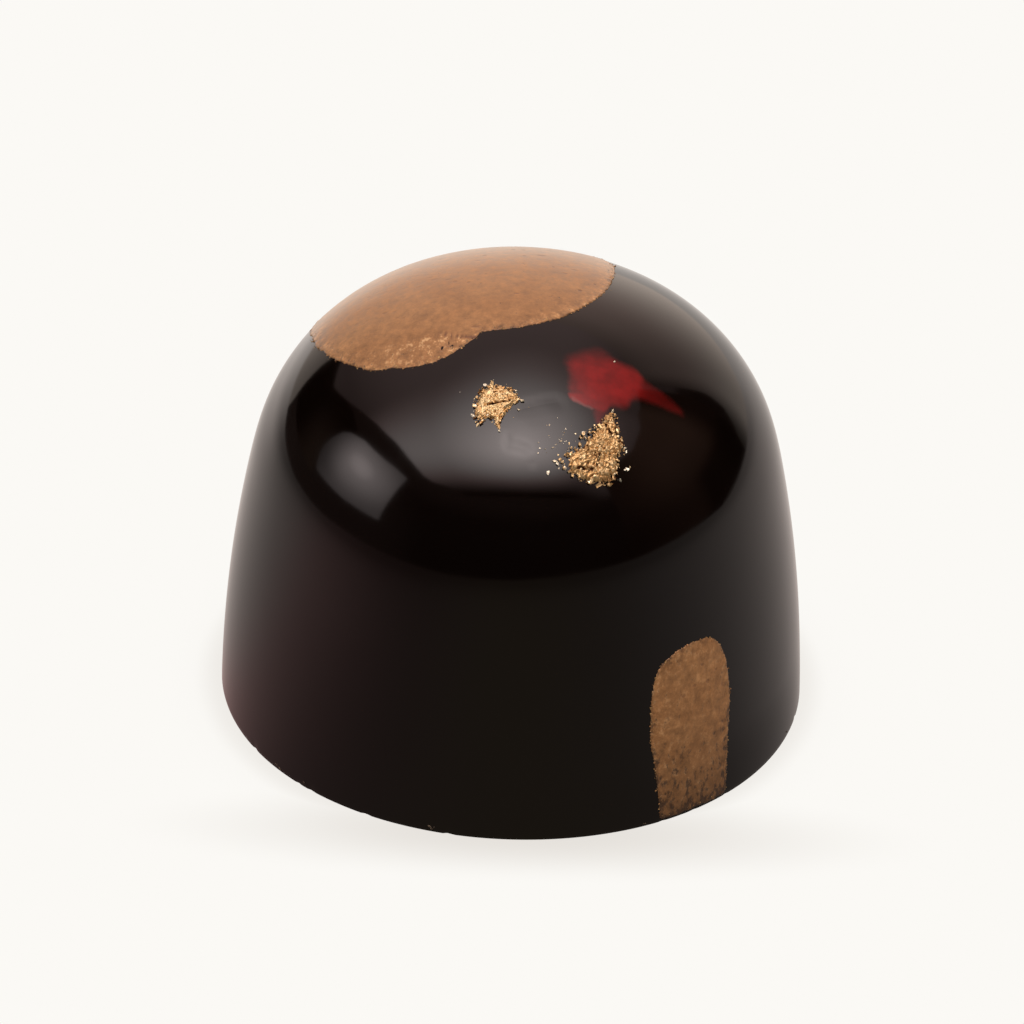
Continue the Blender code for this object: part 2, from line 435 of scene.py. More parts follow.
@dataclass(frozen=True)
class ChocolateFinish:
    """Tempered dark chocolate, glossy from its mould, with a mark of red cocoa butter under the gloss."""

    colour: Colour = (0.0024, 0.0008, 0.0004)
    red: Colour = (0.285, 0.0085, 0.0078)
    # painted highlight: the pale rose colour of a thin line of reflected light on the red mark
    painted_highlight_pink: Colour = (0.30, 0.10, 0.09)
    gloss: float = 0.08
    smudge: float = 0.02
    smudge_size: float = 3.0 * MM
    refraction: float = 1.5
    ripple_size: float = 2.2 * MM
    ripple_depth: float = 0.005 * MM
    scratch_size: float = 0.25 * MM
    scratch_depth: float = 0.05 * MM
    scraped_gloss: float = 0.42
    scraped_height: float = 0.04 * MM
    strokes: tuple[Stroke, ...] = (
        Stroke.of_mm((3.55, -5.25), (4.95, -5.08), (0.85, 0.74), 0.42, 0.95),
        Stroke.of_mm((2.75, -4.75), (3.7, -4.15), (0.50, 0.42), 0.40, 0.50),
        Stroke.of_mm((2.62, -4.90), (2.62, -6.20), (0.30, 0.30), 0.22, 0.55),
        Stroke.of_mm((4.30, -6.00), (4.95, -5.85), (0.32, 0.26), 0.24, 0.50),
        Stroke.of_mm((4.3, -4.45), (5.35, -4.75), (0.42, 0.36), 0.26, 0.60),
        Stroke.of_mm((5.3, -5.15), (7.50, -5.38), (0.66, 0.14), 0.22, 0.31),
        Stroke.of_mm((3.35, -6.05), (4.6, -6.0), (0.62, 0.50), 0.22, 0.85),
        Stroke.of_mm((2.45, -6.62), (3.75, -6.55), (0.12, 0.40), 0.11, 0.90),
        Stroke.of_mm((3.75, -6.9), (3.75, -7.5), (0.34, 0.12), 0.22, 0.50),
    )
    smears: tuple[Stroke, ...] = (
        Stroke.of_mm((0.10, -7.52), (1.80, -7.02), (0.20, 0.26), 0.36, 1.0),
        Stroke.of_mm((-0.40, -9.05), (0.55, -9.20), (0.16, 0.16), 0.26, 0.6),
    )
    smear_depth: float = 0.014 * MM
    # painted highlight: the stroke where that pale line of reflected light lies
    painted_highlight: Stroke = Stroke.of_mm((2.55, -6.72), (3.3, -6.92), (0.07, 0.05), 0.08, 0.45)

    @staticmethod
    def draw_stroke(
        sheet: NodeSheet, flat: Value, stroke: Stroke, effects: Effects
    ) -> Socket:
        """Draws one stroke.

        Args:
            sheet: the material's sheet.
            flat: the point as seen from above.
            stroke: the stroke.
            effects: the shared effects.

        Returns:
            The stroke's share, from 0 to its strength.
        """
        mask = sheet.group(effects.stroke, {
            "Vector": flat,
            "Start": (*stroke.start, 0.0),
            "End": (*stroke.end, 0.0),
            "Start Radius": stroke.start_radius,
            "End Radius": stroke.end_radius,
            "Softness": stroke.softness,
        })
        return sheet.product(mask, stroke.strength)

    def material(self, effects: Effects) -> bpy.types.Material:
        """Builds the material.

        Args:
            effects: the shared effects.

        Returns:
            The finished material.
        """
        material, sheet, shader = new_material("dark_chocolate")
        place = sheet.place()
        height = sheet.coordinate(place, "Z")
        scraped = sheet.fade(height, self.scraped_height, 0.0)
        smudges = sheet.noise(place, self.smudge_size, 3.0)
        rough = sheet.fade(smudges, 0.35, 0.75, self.gloss, self.gloss + self.smudge)
        ripple = {"Vector": place, "Size": self.ripple_size, "Fine Share": 0.05}
        normal = sheet.bump(sheet.group(effects.unevenness, ripple), self.ripple_depth)
        flat = sheet.vector("MULTIPLY", place, FROM_ABOVE)
        for smear in self.smears:
            hollow = sheet.product(self.draw_stroke(sheet, flat, smear, effects), -1.0)
            normal = sheet.bump(hollow, self.smear_depth, normal)
        scratches = sheet.vector("MULTIPLY", place, (1.0, 0.12, 1.0))
        scrape = sheet.product(sheet.noise(scratches, self.scratch_size, 4.0), scraped)
        sheet.feed_all(shader, {
            "Base Color": self.mark(sheet, place, height, effects),
            "Roughness": sheet.blend(scraped, rough, self.scraped_gloss),
            "IOR": self.refraction,
            "Normal": sheet.bump(scrape, self.scratch_depth, normal),
        })
        return material

    def mark(self, sheet: NodeSheet, place: Value, height: Value, effects: Effects) -> Socket:
        """The chocolate's colour with the red brush mark on it, and a pale painted highlight at the mark's
        lower edge.

        Args:
            sheet: the material's sheet.
            place: the point on the praline.
            height: its height.
            effects: the shared effects.

        Returns:
            The colour.
        """
        waves = sheet.add("ShaderNodeTexNoise", {"Vector": place, "Scale": 900.0, "Detail": 3.0})
        drift = sheet.scale(sheet.vector("SUBTRACT", waves.outputs["Color"], (0.5, 0.5, 0.5)), 0.5 * MM)
        flat = sheet.vector("MULTIPLY", sheet.vector("ADD", place, drift), FROM_ABOVE)
        clear: Value = 1.0
        for stroke in self.strokes:
            share = self.draw_stroke(sheet, flat, stroke, effects)
            clear = sheet.product(clear, sheet.math("SUBTRACT", 1.0, share))
        thickness = sheet.fade(sheet.noise(place, 0.9 * MM, 2.0), 0.25, 0.7, 0.64, 1.0)
        upper = sheet.fade(height, 12.0 * MM, 14.0 * MM)
        covered = sheet.product(sheet.math("SUBTRACT", 1.0, clear), upper)
        colour = sheet.mix(sheet.product(covered, thickness), self.colour, self.red)
        # painted highlight: a pale line of reflected light along the red mark's lower edge
        painted_highlight = sheet.product(self.draw_stroke(sheet, flat, self.painted_highlight, effects), upper)
        return sheet.mix(painted_highlight, colour, self.painted_highlight_pink)


@dataclass(frozen=True)
class LustreFinish:
    """Bronze lustre powder bound by cocoa butter: satin inside, and coarse and golden where it is thick."""

    name: str
    colour: Colour = (0.410, 0.182, 0.064)
    deep: Colour = (0.368, 0.157, 0.052)
    golden: Colour = (0.62, 0.36, 0.17)
    pale: Colour = (0.64, 0.42, 0.25)
    # painted sheen: the pale colour mixed in where the film is seen edge-on
    painted_sheen_colour: Colour = (0.86, 0.74, 0.60)
    bare: Colour = (0.036, 0.014, 0.006)
    pit: Colour = (0.13, 0.045, 0.018)
    seam: Colour = (0.10, 0.022, 0.010)
    metal: float = 0.15
    gloss: float = 0.42
    coat: float = 0.30
    coat_gloss: float = 0.28
    cloud: float = 1.9 * MM
    grain: float = 0.50 * MM
    contrast: float = 1.35
    rim_contrast: float = 2.4
    coarse_contrast: float = 0.3
    golden_share: float = 0.7
    streak: float = 0.14 * MM
    stretch: float = 0.7
    pit_spacing: float = 0.66 * MM
    pit_share: float = 0.45
    pit_depth: float = 0.55
    even_pits: bool = False
    wear: float = 0.30
    rim_wear: float = 0.14
    gap_fade: Span = (0.66, 0.80)
    # painted shade: how much the film darkens towards the base
    painted_base_shade: float = 0.0
    painted_sheen: float = 0.36

    def material(self, effects: Effects) -> bpy.types.Material:
        """Builds the material.

        Args:
            effects: the shared effects.

        Returns:
            The finished material.
        """
        material, sheet, shader = new_material(self.name)
        place = sheet.place()
        rim = sheet.attribute("rim")
        coarse = sheet.math("MAXIMUM", sheet.product(rim, 0.9), sheet.attribute("rough_layer"))
        grain = sheet.noise(place, self.grain, 4.0, 0.76)
        along = (1.0, self.stretch, self.stretch)
        streaks = sheet.noise(sheet.vector("MULTIPLY", place, along), self.streak, 3.0, 0.6)

        cloud = sheet.fade(sheet.noise(place, self.cloud, 2.0, 0.5), 0.3, 0.7)
        colour = sheet.mix(cloud, self.deep, self.colour)
        # painted sheen: the film turns pale where it is seen edge-on, standing in for the reflected backdrop
        facing = sheet.add("ShaderNodeLayerWeight", {"Blend": 0.5}).outputs["Facing"]
        colour = sheet.mix(sheet.fade(facing, 0.62, 0.97, 0.0, self.painted_sheen), colour, self.painted_sheen_colour)
        peaks = sheet.fade(sheet.math("ADD", grain, streaks), 1.04, 1.20, 0.0, self.golden_share)
        colour = sheet.mix(sheet.product(coarse, peaks), colour, self.golden)
        contrast = sheet.math("MULTIPLY_ADD", coarse, self.coarse_contrast, self.contrast)
        contrast = sheet.math("MULTIPLY_ADD", rim, self.rim_contrast, contrast)
        shade = sheet.math("MULTIPLY_ADD", sheet.math("SUBTRACT", grain, 0.5), contrast, 1.0)
        drawn = sheet.product(coarse, 0.9)
        drawn = sheet.product(sheet.math("SUBTRACT", streaks, 0.40), drawn)
        shade = sheet.math("ADD", shade, drawn)
        colour = sheet.mix(1.0, colour, sheet.grey(shade), "MULTIPLY")
        flecks = self.flecks(sheet, place, effects, 1.5 * MM, 0.035, 0.4)
        colour = sheet.mix(sheet.product(flecks, 0.6), colour, self.pale)

        pits = self.pits(sheet, place, effects)
        colour = sheet.mix(sheet.product(pits, self.pit_depth), colour, self.pit)
        colour = sheet.mix(sheet.product(sheet.attribute("seam"), 0.85), colour, self.seam)
        wear_and_base_shade = sheet.product(sheet.attribute("wear_and_base_shade"), self.wear)
        wear_and_base_shade = sheet.math("MULTIPLY_ADD", rim, self.rim_wear, wear_and_base_shade)
        gaps_and_rim_shade = sheet.product(sheet.fade(sheet.math("ADD", streaks, wear_and_base_shade), *self.gap_fade), 0.85)
        # painted shade: the colour darkens towards the base
        dim = sheet.math("MULTIPLY_ADD", sheet.attribute("wear_and_base_shade"), -self.painted_base_shade, 1.0)
        colour = sheet.mix(1.0, colour, sheet.grey(dim), "MULTIPLY")
        # painted shade: a thin dark line along the rim is mixed in with the openings of wear
        gaps_and_rim_shade = sheet.math("MAXIMUM", gaps_and_rim_shade, sheet.product(sheet.attribute("edge"), 0.55))
        relief = sheet.math("SUBTRACT", grain, sheet.math("MAXIMUM", gaps_and_rim_shade, pits))
        relief = sheet.product(relief, sheet.fade(coarse, 0.0, 1.0, 0.3, 1.0))
        sheet.feed_all(shader, {
            "Base Color": sheet.mix(gaps_and_rim_shade, colour, self.bare),
            "Metallic": sheet.math("MULTIPLY_ADD", gaps_and_rim_shade, -self.metal, self.metal),
            "Roughness": sheet.fade(grain, 0.3, 0.7, self.gloss - 0.06, self.gloss + 0.1),
            "Coat Weight": self.coat,
            "Coat Roughness": self.coat_gloss,
            "Normal": sheet.bump(relief, 0.04 * MM),
        })
        return material

    @staticmethod
    def flecks(
        sheet: NodeSheet, place: Value, effects: Effects, spacing: float, radius: float, share: float
    ) -> Socket:
        """Sparse specks.

        Args:
            sheet: the material's sheet.
            place: the point on the praline.
            effects: the shared effects.
            spacing: the distance between the places where a speck may be.
            radius: the largest radius, as a share of the spacing.
            share: how many of the places hold a speck.

        Returns:
            A mask that is 1 in a speck.
        """
        values = {"Vector": place, "Spacing": spacing, "Radius": radius, "Share": share}
        return sheet.group(effects.specks, values)

    def pits(self, sheet: NodeSheet, place: Value, effects: Effects) -> Socket:
        """Pinholes and short scratches, fewer of them towards the left of the crown.

        Args:
            sheet: the material's sheet.
            place: the point on the praline.
            effects: the shared effects.

        Returns:
            A mask that is 1 in a hole.
        """
        drawn = sheet.add(
            "ShaderNodeMapping", {"Vector": place, "Rotation": (0.0, 0.0, 0.5), "Scale": (0.4, 1.0, 1.0)},
        ).outputs[0]
        round_pits = self.flecks(sheet, place, effects, self.pit_spacing, 0.24, self.pit_share)
        scratches = self.flecks(sheet, drawn, effects, self.pit_spacing * 0.8, 0.26, self.pit_share)
        both = sheet.math("MAXIMUM", round_pits, scratches)
        if self.even_pits:
            return both
        fewer = sheet.fade(sheet.coordinate(place, "X"), -6.0 * MM, 1.0 * MM, 0.3, 1.0)
        return sheet.product(both, fewer)


@dataclass(frozen=True)
class GoldFinish:
    """Crumpled gold leaf and gold crumbs."""

    name: str = "gold_leaf"
    # painted highlight: the near-white colour of the palest grains
    painted_glint: Colour = (0.98, 0.90, 0.70)
    pale: Colour = (0.90, 0.69, 0.38)
    deep: Colour = (0.62, 0.36, 0.14)
    dark: Colour = (0.085, 0.03, 0.012)
    gloss: float = 0.28
    metal: float = 0.8

    def material(self) -> bpy.types.Material:
        """Builds the material.

        Returns:
            The finished material.
        """
        material, sheet, shader = new_material(self.name)
        place = sheet.place()
        shade = sheet.attribute("shade")
        crinkle = sheet.noise(place, 0.09 * MM, 3.0, 0.65)
        # the shade attribute carries painted light and shade from the relief, with random tone
        both = sheet.math("MULTIPLY_ADD", sheet.math("SUBTRACT", crinkle, 0.5), 1.6, shade)
        colour = sheet.mix(sheet.fade(both, 0.0, 1.0), self.deep, self.pale)
        # painted shade: dark where the shade is lowest, in creases and hollows
        colour = sheet.mix(sheet.fade(both, 0.16, -0.35), colour, self.dark)
        sheet.feed_all(shader, {
            # painted highlight: the palest grains turn near white
            "Base Color": sheet.mix(sheet.fade(shade, 1.15, 1.6), colour, self.painted_glint),
            "Roughness": sheet.fade(crinkle, 0.25, 0.75, self.gloss, self.gloss + 0.2),
            "Metallic": self.metal,
            "Normal": sheet.bump(crinkle, 0.02 * MM),
        })
        return material


@dataclass(frozen=True)
class CrumbFinish:
    """Dry crumbs of chocolate, paler than the shell where they broke."""

    name: str = "chocolate_crumbs"
    dark: Colour = (0.03, 0.016, 0.010)
    pale: Colour = (0.30, 0.21, 0.14)
    gloss: float = 0.45

    def material(self) -> bpy.types.Material:
        """Builds the material.

        Returns:
            The finished material.
        """
        material, sheet, shader = new_material(self.name)
        grain = sheet.noise(sheet.place(), 0.05 * MM, 2.0)
        both = sheet.product(sheet.attribute("shade"), sheet.fade(grain, 0.3, 0.7))
        sheet.feed_all(shader, {
            "Base Color": sheet.mix(both, self.dark, self.pale),
            "Roughness": self.gloss,
            "Normal": sheet.bump(grain, 0.02 * MM),
        })
        return material


# Modelling by hand

def deselect_all() -> None:
    """Leaves edit mode and deselects every object."""
    if bpy.context.object and bpy.context.object.mode == "EDIT":
        bpy.ops.object.mode_set(mode="OBJECT")
    bpy.ops.object.select_all(action="DESELECT")


def points_of(piece: Piece) -> np.ndarray:
    """Gives a mesh's points as an array of rows.

    Args:
        piece: the mesh's object.

    Returns:
        Rows of three coordinates.
    """
    flat = np.empty(len(piece.data.vertices) * 3)
    piece.data.vertices.foreach_get("co", flat)
    return flat.reshape(-1, 3)


def normals_of(piece: Piece) -> np.ndarray:
    """Gives a mesh's point normals as an array of rows."""
    return np.array([vertex.normal for vertex in piece.data.vertices])


def set_points(piece: Piece, points: np.ndarray) -> None:
    """Moves a mesh's points."""
    piece.data.vertices.foreach_set("co", points.astype(np.float32).ravel())
    piece.data.update()


def set_attribute(piece: Piece, name: str, values: np.ndarray) -> None:
    """Writes a float for each point of a mesh."""
    layer = piece.data.attributes.new(name, "FLOAT", "POINT")
    layer.data.foreach_set("value", values.astype(np.float32))


def apply_modifier(piece: Piece, kind: str, **settings: object) -> None:
    """Adds a modifier to the active piece and applies it.

    Args:
        piece: the active piece.
        kind: the modifier's type name.
        settings: its settings.
    """
    modifier = piece.modifiers.new(kind.capitalize(), kind)
    for name, setting in settings.items():
        setattr(modifier, name, setting)
    bpy.ops.object.modifier_apply(modifier=modifier.name)


def finish_piece(piece: Piece, name: str, material: bpy.types.Material) -> None:
    """Names a piece, dresses it, and lets it ride on the praline.

    Args:
        piece: the modelled object.
        name: its name.
        material: its finish.
    """
    points = points_of(piece)
    points[:, 2] = np.maximum(points[:, 2], 0.0)
    set_points(piece, points)
    piece.name = name
    piece.data.name = name
    piece.data.materials.clear()
    piece.data.materials.append(material)
    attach(piece, BODY)
    LOG.info("%s: %d points, %d faces", name, len(piece.data.vertices), len(piece.data.polygons))


def smooth_loop(corners: Sequence[Point2], spacing: float) -> np.ndarray:
    """Draws a closed curve through the corners.

    Args:
        corners: the points that it passes through.
        spacing: the distance between the points drawn.

    Returns:
        Points on the curve at equal distances, as rows.
    """
    fine = []
    given = [np.array(corner) for corner in corners]
    count = len(given)
    for i in range(count):
        a, b, c, d = (given[(i + k) % count] for k in (-1, 0, 1, 2))
        for t in np.linspace(0.0, 1.0, 24, endpoint=False):
            fine.append(0.5 * (
                2 * b + (c - a) * t + (2 * a - 5 * b + 4 * c - d) * t ** 2 + (3 * b - a - 3 * c + d) * t ** 3
            ))
    closed = np.array(fine + [fine[0]])
    travel = np.concatenate([[0.0], np.cumsum(np.linalg.norm(np.diff(closed, axis=0), axis=1))])
    stops = np.linspace(0.0, travel[-1], max(8, round(travel[-1] / spacing)), endpoint=False)
    return np.stack([np.interp(stops, travel, closed[:, k]) for k in (0, 1)], axis=1)


def field_noise(points: np.ndarray, size: float, offset: float, octaves: int = 2) -> np.ndarray:
    """Smooth noise from -1 to 1 at each point, with features of about this size.

    Args:
        points: rows of three coordinates.
        size: the size of the features.
        offset: shifts the pattern, so that two fields differ.
        octaves: how many sizes are summed.

    Returns:
        One value for each point.
    """
    shift = Vector((offset, -offset, offset * 0.5))
    return np.array([noise.fractal(Vector(p) / size + shift, 1.0, 2.0, octaves) for p in points])


# The shell

@dataclass(frozen=True)
class DomeShape:
    """The praline's outline: three tangent arcs, turned about the upright axis.

    Angles are those of the outward normal above the horizon. Each change of curve is eased, as in a
    real mould, so that reflections run over it without a kink.
    """

    base_radius: float = 14.0 * MM
    base_edge: float = 0.06 * MM
    base_angle: float = math.radians(1.0)
    wall_radius: float = 66.5 * MM
    shoulder_angle: float = math.radians(12.4)
    shoulder_radius: float = 9.7 * MM
    crown_angle: float = math.radians(60.0)
    ease: float = 1.3 * MM
    step: float = 0.2 * MM
    bulge: float = 0.2 * MM
    bulge_bearing: float = -50.0
    bulge_width: float = 60.0
    bulge_top: float = 3.2 * MM

    def edge_start(self) -> tuple[float, float, float]:
        """Angle, radius and height where the wall starts, above the base's rounded edge.

        Returns:
            The angle, the radius and the height.
        """
        angle = math.asin(self.base_edge / self.wall_radius + math.sin(self.base_angle))
        radius = self.base_radius + self.wall_radius * (math.cos(angle) - math.cos(self.base_angle))
        return angle, radius, self.base_edge

    def arcs(self) -> tuple[float, float, float, float, float]:
        """Lengths of the wall, shoulder and crown arcs, the crown's radius and the height of the top.

        Returns:
            The three lengths, the radius and the height.
        """
        angle, radius, height = self.edge_start()
        radius += self.wall_radius * (math.cos(self.shoulder_angle) - math.cos(angle))
        radius += self.shoulder_radius * (math.cos(self.crown_angle) - math.cos(self.shoulder_angle))
        height += self.wall_radius * (math.sin(self.shoulder_angle) - math.sin(angle))
        height += self.shoulder_radius * (math.sin(self.crown_angle) - math.sin(self.shoulder_angle))
        crown = radius / math.cos(self.crown_angle)
        top = height + crown * (1.0 - math.sin(self.crown_angle))
        return (
            self.wall_radius * (self.shoulder_angle - angle),
            self.shoulder_radius * (self.crown_angle - self.shoulder_angle),
            crown * (math.pi / 2 - self.crown_angle),
            crown,
            top,
        )

    def outline(self) -> np.ndarray:
        """The eased outline above the base's edge.

        Returns:
            Rows of radius, height and normal angle, from the edge to the top.
        """
        wall, shoulder, crown, crown_radius, top = self.arcs()
        first_angle, first_radius, first_height = self.edge_start()
        length = wall + shoulder + crown
        knots = np.array([-wall, 0.0, wall, wall + shoulder, length, length + crown])
        angles = np.array([
            first_angle - wall / self.wall_radius, first_angle, self.shoulder_angle, self.crown_angle,
            math.pi / 2, math.pi / 2 + crown / crown_radius,
        ])
        travel = np.linspace(0.0, length, 3001)
        window = np.linspace(-self.ease, self.ease, 41)
        eased = np.mean([np.interp(travel + shift, knots, angles) for shift in window], axis=0)
        gap = travel[1]
        middle = 0.5 * (eased[1:] + eased[:-1])
        radius = first_radius - np.concatenate([[0.0], np.cumsum(np.sin(middle) * gap)])
        height = first_height + np.concatenate([[0.0], np.cumsum(np.cos(middle) * gap)])
        radius -= radius[-1] * travel / length
        height += (top - height[-1]) * travel / length
        stops = np.linspace(0.0, length, round(length / self.step) + 1)
        return np.stack([np.interp(stops, travel, row) for row in (radius, height, eased)], axis=1)

    def place(self, x: float, y: float, lift: float = 0.0) -> tuple[Vector, Vector]:
        """The point of the dome straight below (x, y).

        Args:
            x: to the right.
            y: to the back.
            lift: how far the point is moved out along the normal.

        Returns:
            The point and the outward normal.
        """
        rows = self.outline_rows[::-1]
        radius = math.hypot(x, y)
        height = float(np.interp(radius, rows[:, 0], rows[:, 1]))
        angle = float(np.interp(radius, rows[:, 0], rows[:, 2]))
        return self.stand(radius, height, math.atan2(y, x), angle, lift)

    def place_on_wall(self, bearing: float, height: float, lift: float = 0.0) -> tuple[Vector, Vector]:
        """The point of the wall at a bearing and a height.

        Args:
            bearing: the bearing in degrees.
            height: the height above the base.
            lift: how far the point is moved out along the normal.

        Returns:
            The point and the outward normal.
        """
        rows = self.outline_rows
        radius = float(np.interp(height, rows[:, 1], rows[:, 0]))
        angle = float(np.interp(height, rows[:, 1], rows[:, 2]))
        return self.stand(radius, height, math.radians(bearing), angle, lift)

    def swell(self, bearing: float | np.ndarray, height: float | np.ndarray) -> float | np.ndarray:
        """How far the wall stands out near the base at one side, where it isn't quite round.

        Args:
            bearing: the bearing in degrees.
            height: the height above the base.

        Returns:
            The distance in metres.
        """
        turn = (bearing - self.bulge_bearing + 180.0) % 360.0 - 180.0
        around = np.cos(np.clip(turn / self.bulge_width, -1.0, 1.0) * math.pi / 2) ** 2
        low = np.clip(1.0 - height / self.bulge_top, 0.0, 1.0)
        return self.bulge * around * low ** 2 * (3.0 - 2.0 * low)

    def stand(
        self, radius: float, height: float, bearing: float, angle: float, lift: float
    ) -> tuple[Vector, Vector]:
        """Turns a point of the outline to its bearing and lifts it along the normal.

        Args:
            radius: its distance from the axis.
            height: its height.
            bearing: the bearing in radians.
            angle: the normal's angle above the horizon.
            lift: how far it is moved out.

        Returns:
            The point and the outward normal.
        """
        normal = Vector((
            math.cos(bearing) * math.cos(angle), math.sin(bearing) * math.cos(angle), math.sin(angle),
        ))
        radius += float(self.swell(math.degrees(bearing), height))
        point = Vector((radius * math.cos(bearing), radius * math.sin(bearing), height))
        return point + normal * lift, normal

    @cached_property
    def outline_rows(self) -> np.ndarray:
        """The outline, worked out once."""
        return self.outline()


@dataclass(frozen=True)
class Dent:
    """A shallow dent or a chip: its centre, how far it reaches and how deep it is."""

    centre: tuple[float, float, float]
    reach: float
    depth: float


@dataclass
class Shell:
    """The moulded shell with its flat, scraped-off base."""

    shape: DomeShape
    sides: int = 440
    base_rings: tuple[float, ...] = (0.0, 2.0 * MM, 5.0 * MM, 8.0 * MM, 11.0 * MM, 13.0 * MM, 13.7 * MM)
    edge_steps: int = 3
    wave_size: float = 7.0 * MM
    wave_depth: float = 0.016 * MM
    chip_seed: int = 3
    chips: int = 14
    piece: Piece = field(init=False)

    def profile(self) -> list[tuple[float, float]]:
        """The whole half section: the base, its rounded edge and the eased dome.

        Returns:
            Pairs of radius and height, from the middle of the base to the top.
        """
        edge = self.shape.base_edge
        outer = self.shape.edge_start()[1] - edge
        points = [(radius, 0.0) for radius in self.base_rings]
        for k in range(self.edge_steps):
            angle = math.pi / 2 * k / self.edge_steps
            points.append((outer + edge * math.sin(angle), edge - edge * math.cos(angle)))
        rows = self.shape.outline_rows
        points += [(float(radius), float(height)) for radius, height, _ in rows[:-1]]
        return points + [(0.0, float(rows[-1, 1]))]

    def turn(self) -> None:
        """Draws the half section by extruding one point along it, and spins it about the axis."""
        deselect_all()
        bpy.ops.mesh.primitive_plane_add(size=0.1 * MM, location=(0.0, 0.0, 0.0))
        self.piece = bpy.context.object
        bpy.ops.object.mode_set(mode="EDIT")
        bpy.ops.mesh.merge(type="CENTER")
        before = (0.0, 0.0)
        for radius, height in self.profile()[1:]:
            step = (radius - before[0], 0.0, height - before[1])
            bpy.ops.mesh.extrude_region_move(TRANSFORM_OT_translate={"value": step})
            before = (radius, height)
        bpy.ops.mesh.select_all(action="SELECT")
        bpy.ops.mesh.spin(steps=self.sides, angle=math.tau, center=(0, 0, 0), axis=(0, 0, 1))
        bpy.ops.mesh.select_all(action="SELECT")
        bpy.ops.mesh.remove_doubles(threshold=0.002 * MM)
        bpy.ops.mesh.normals_make_consistent(inside=False)
        bpy.ops.object.mode_set(mode="OBJECT")

    def wave(self) -> None:
        """Gives the mould's slight waviness with a displacement that is applied."""
        texture = bpy.data.textures.new("mould_waves", "CLOUDS")
        texture.noise_scale = self.wave_size
        texture.noise_depth = 1
        apply_modifier(
            self.piece, "DISPLACE", texture=texture, texture_coords="LOCAL", strength=self.wave_depth,
            mid_level=0.5,
        )

    def dents(self) -> list[Dent]:
        """The shallow dents by the gold and the red mark, and the chips along the base's edge.

        Returns:
            The dents and chips.
        """
        marks = [
            Dent(tuple(self.shape.place(x * MM, y * MM)[0]), reach * MM, depth * MM)
            for x, y, reach, depth in (
                (0.25, -7.22, 0.34, 0.012), (0.60, -7.12, 0.34, 0.013), (0.95, -7.00, 0.34, 0.013),
                (1.30, -6.90, 0.32, 0.012), (1.60, -6.81, 0.28, 0.009), (0.85, -7.75, 0.80, 0.009),
                (-0.44, -8.89, 0.40, 0.018), (0.00, -9.02, 0.42, 0.016), (0.40, -9.12, 0.36, 0.014),
                (-0.52, -8.68, 0.24, 0.014), (0.69, -9.63, 0.24, 0.012), (5.10, -6.20, 0.60, 0.011),
                (4.75, -6.40, 0.16, -0.010),
            )
        ]
        draw = random.Random(self.chip_seed)
        for _ in range(self.chips):
            bearing = draw.uniform(0.0, 360.0)
            point = self.shape.place_on_wall(bearing, draw.uniform(0.0, 0.1 * MM))[0]
            marks.append(Dent(tuple(point), draw.uniform(0.15, 0.32) * MM, draw.uniform(0.02, 0.06) * MM))
        return marks

    def press(self) -> None:
        """Pushes the wall out where the base isn't quite round, and presses in the dents and chips."""
        points = points_of(self.piece)
        normals = normals_of(self.piece)
        radius = np.hypot(points[:, 0], points[:, 1])
        bearing = np.degrees(np.arctan2(points[:, 1], points[:, 0]))
        out = self.shape.swell(bearing, points[:, 2]) * np.clip(radius / self.shape.base_radius, 0.0, 1.0)
        points[:, :2] *= (1.0 + out / np.maximum(radius, 1e-6))[:, None]
        for dent in self.dents():
            distance = np.linalg.norm(points - np.array(dent.centre), axis=1) / dent.reach
            amount = np.clip(1.0 - distance ** 2, 0.0, 1.0) ** 2
            points -= normals * (amount * dent.depth)[:, None]
        points[:, 2] = np.maximum(points[:, 2], 0.0)
        set_points(self.piece, points)

    def build(self, finish: ChocolateFinish, effects: Effects) -> None:
        """Models the shell, dresses it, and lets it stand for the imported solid.

        Args:
            finish: the chocolate.
            effects: the shared effects.
        """
        self.turn()
        self.wave()
        self.press()
        self.piece.data.shade_smooth()
        finish_piece(self.piece, "shell", finish.material(effects))
        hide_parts(NODE)


# Lustre films

class Side(Enum):
    """Where a film lies, which says how its flat outline is laid on the dome."""

    CROWN = "crown"
    WALL = "wall"


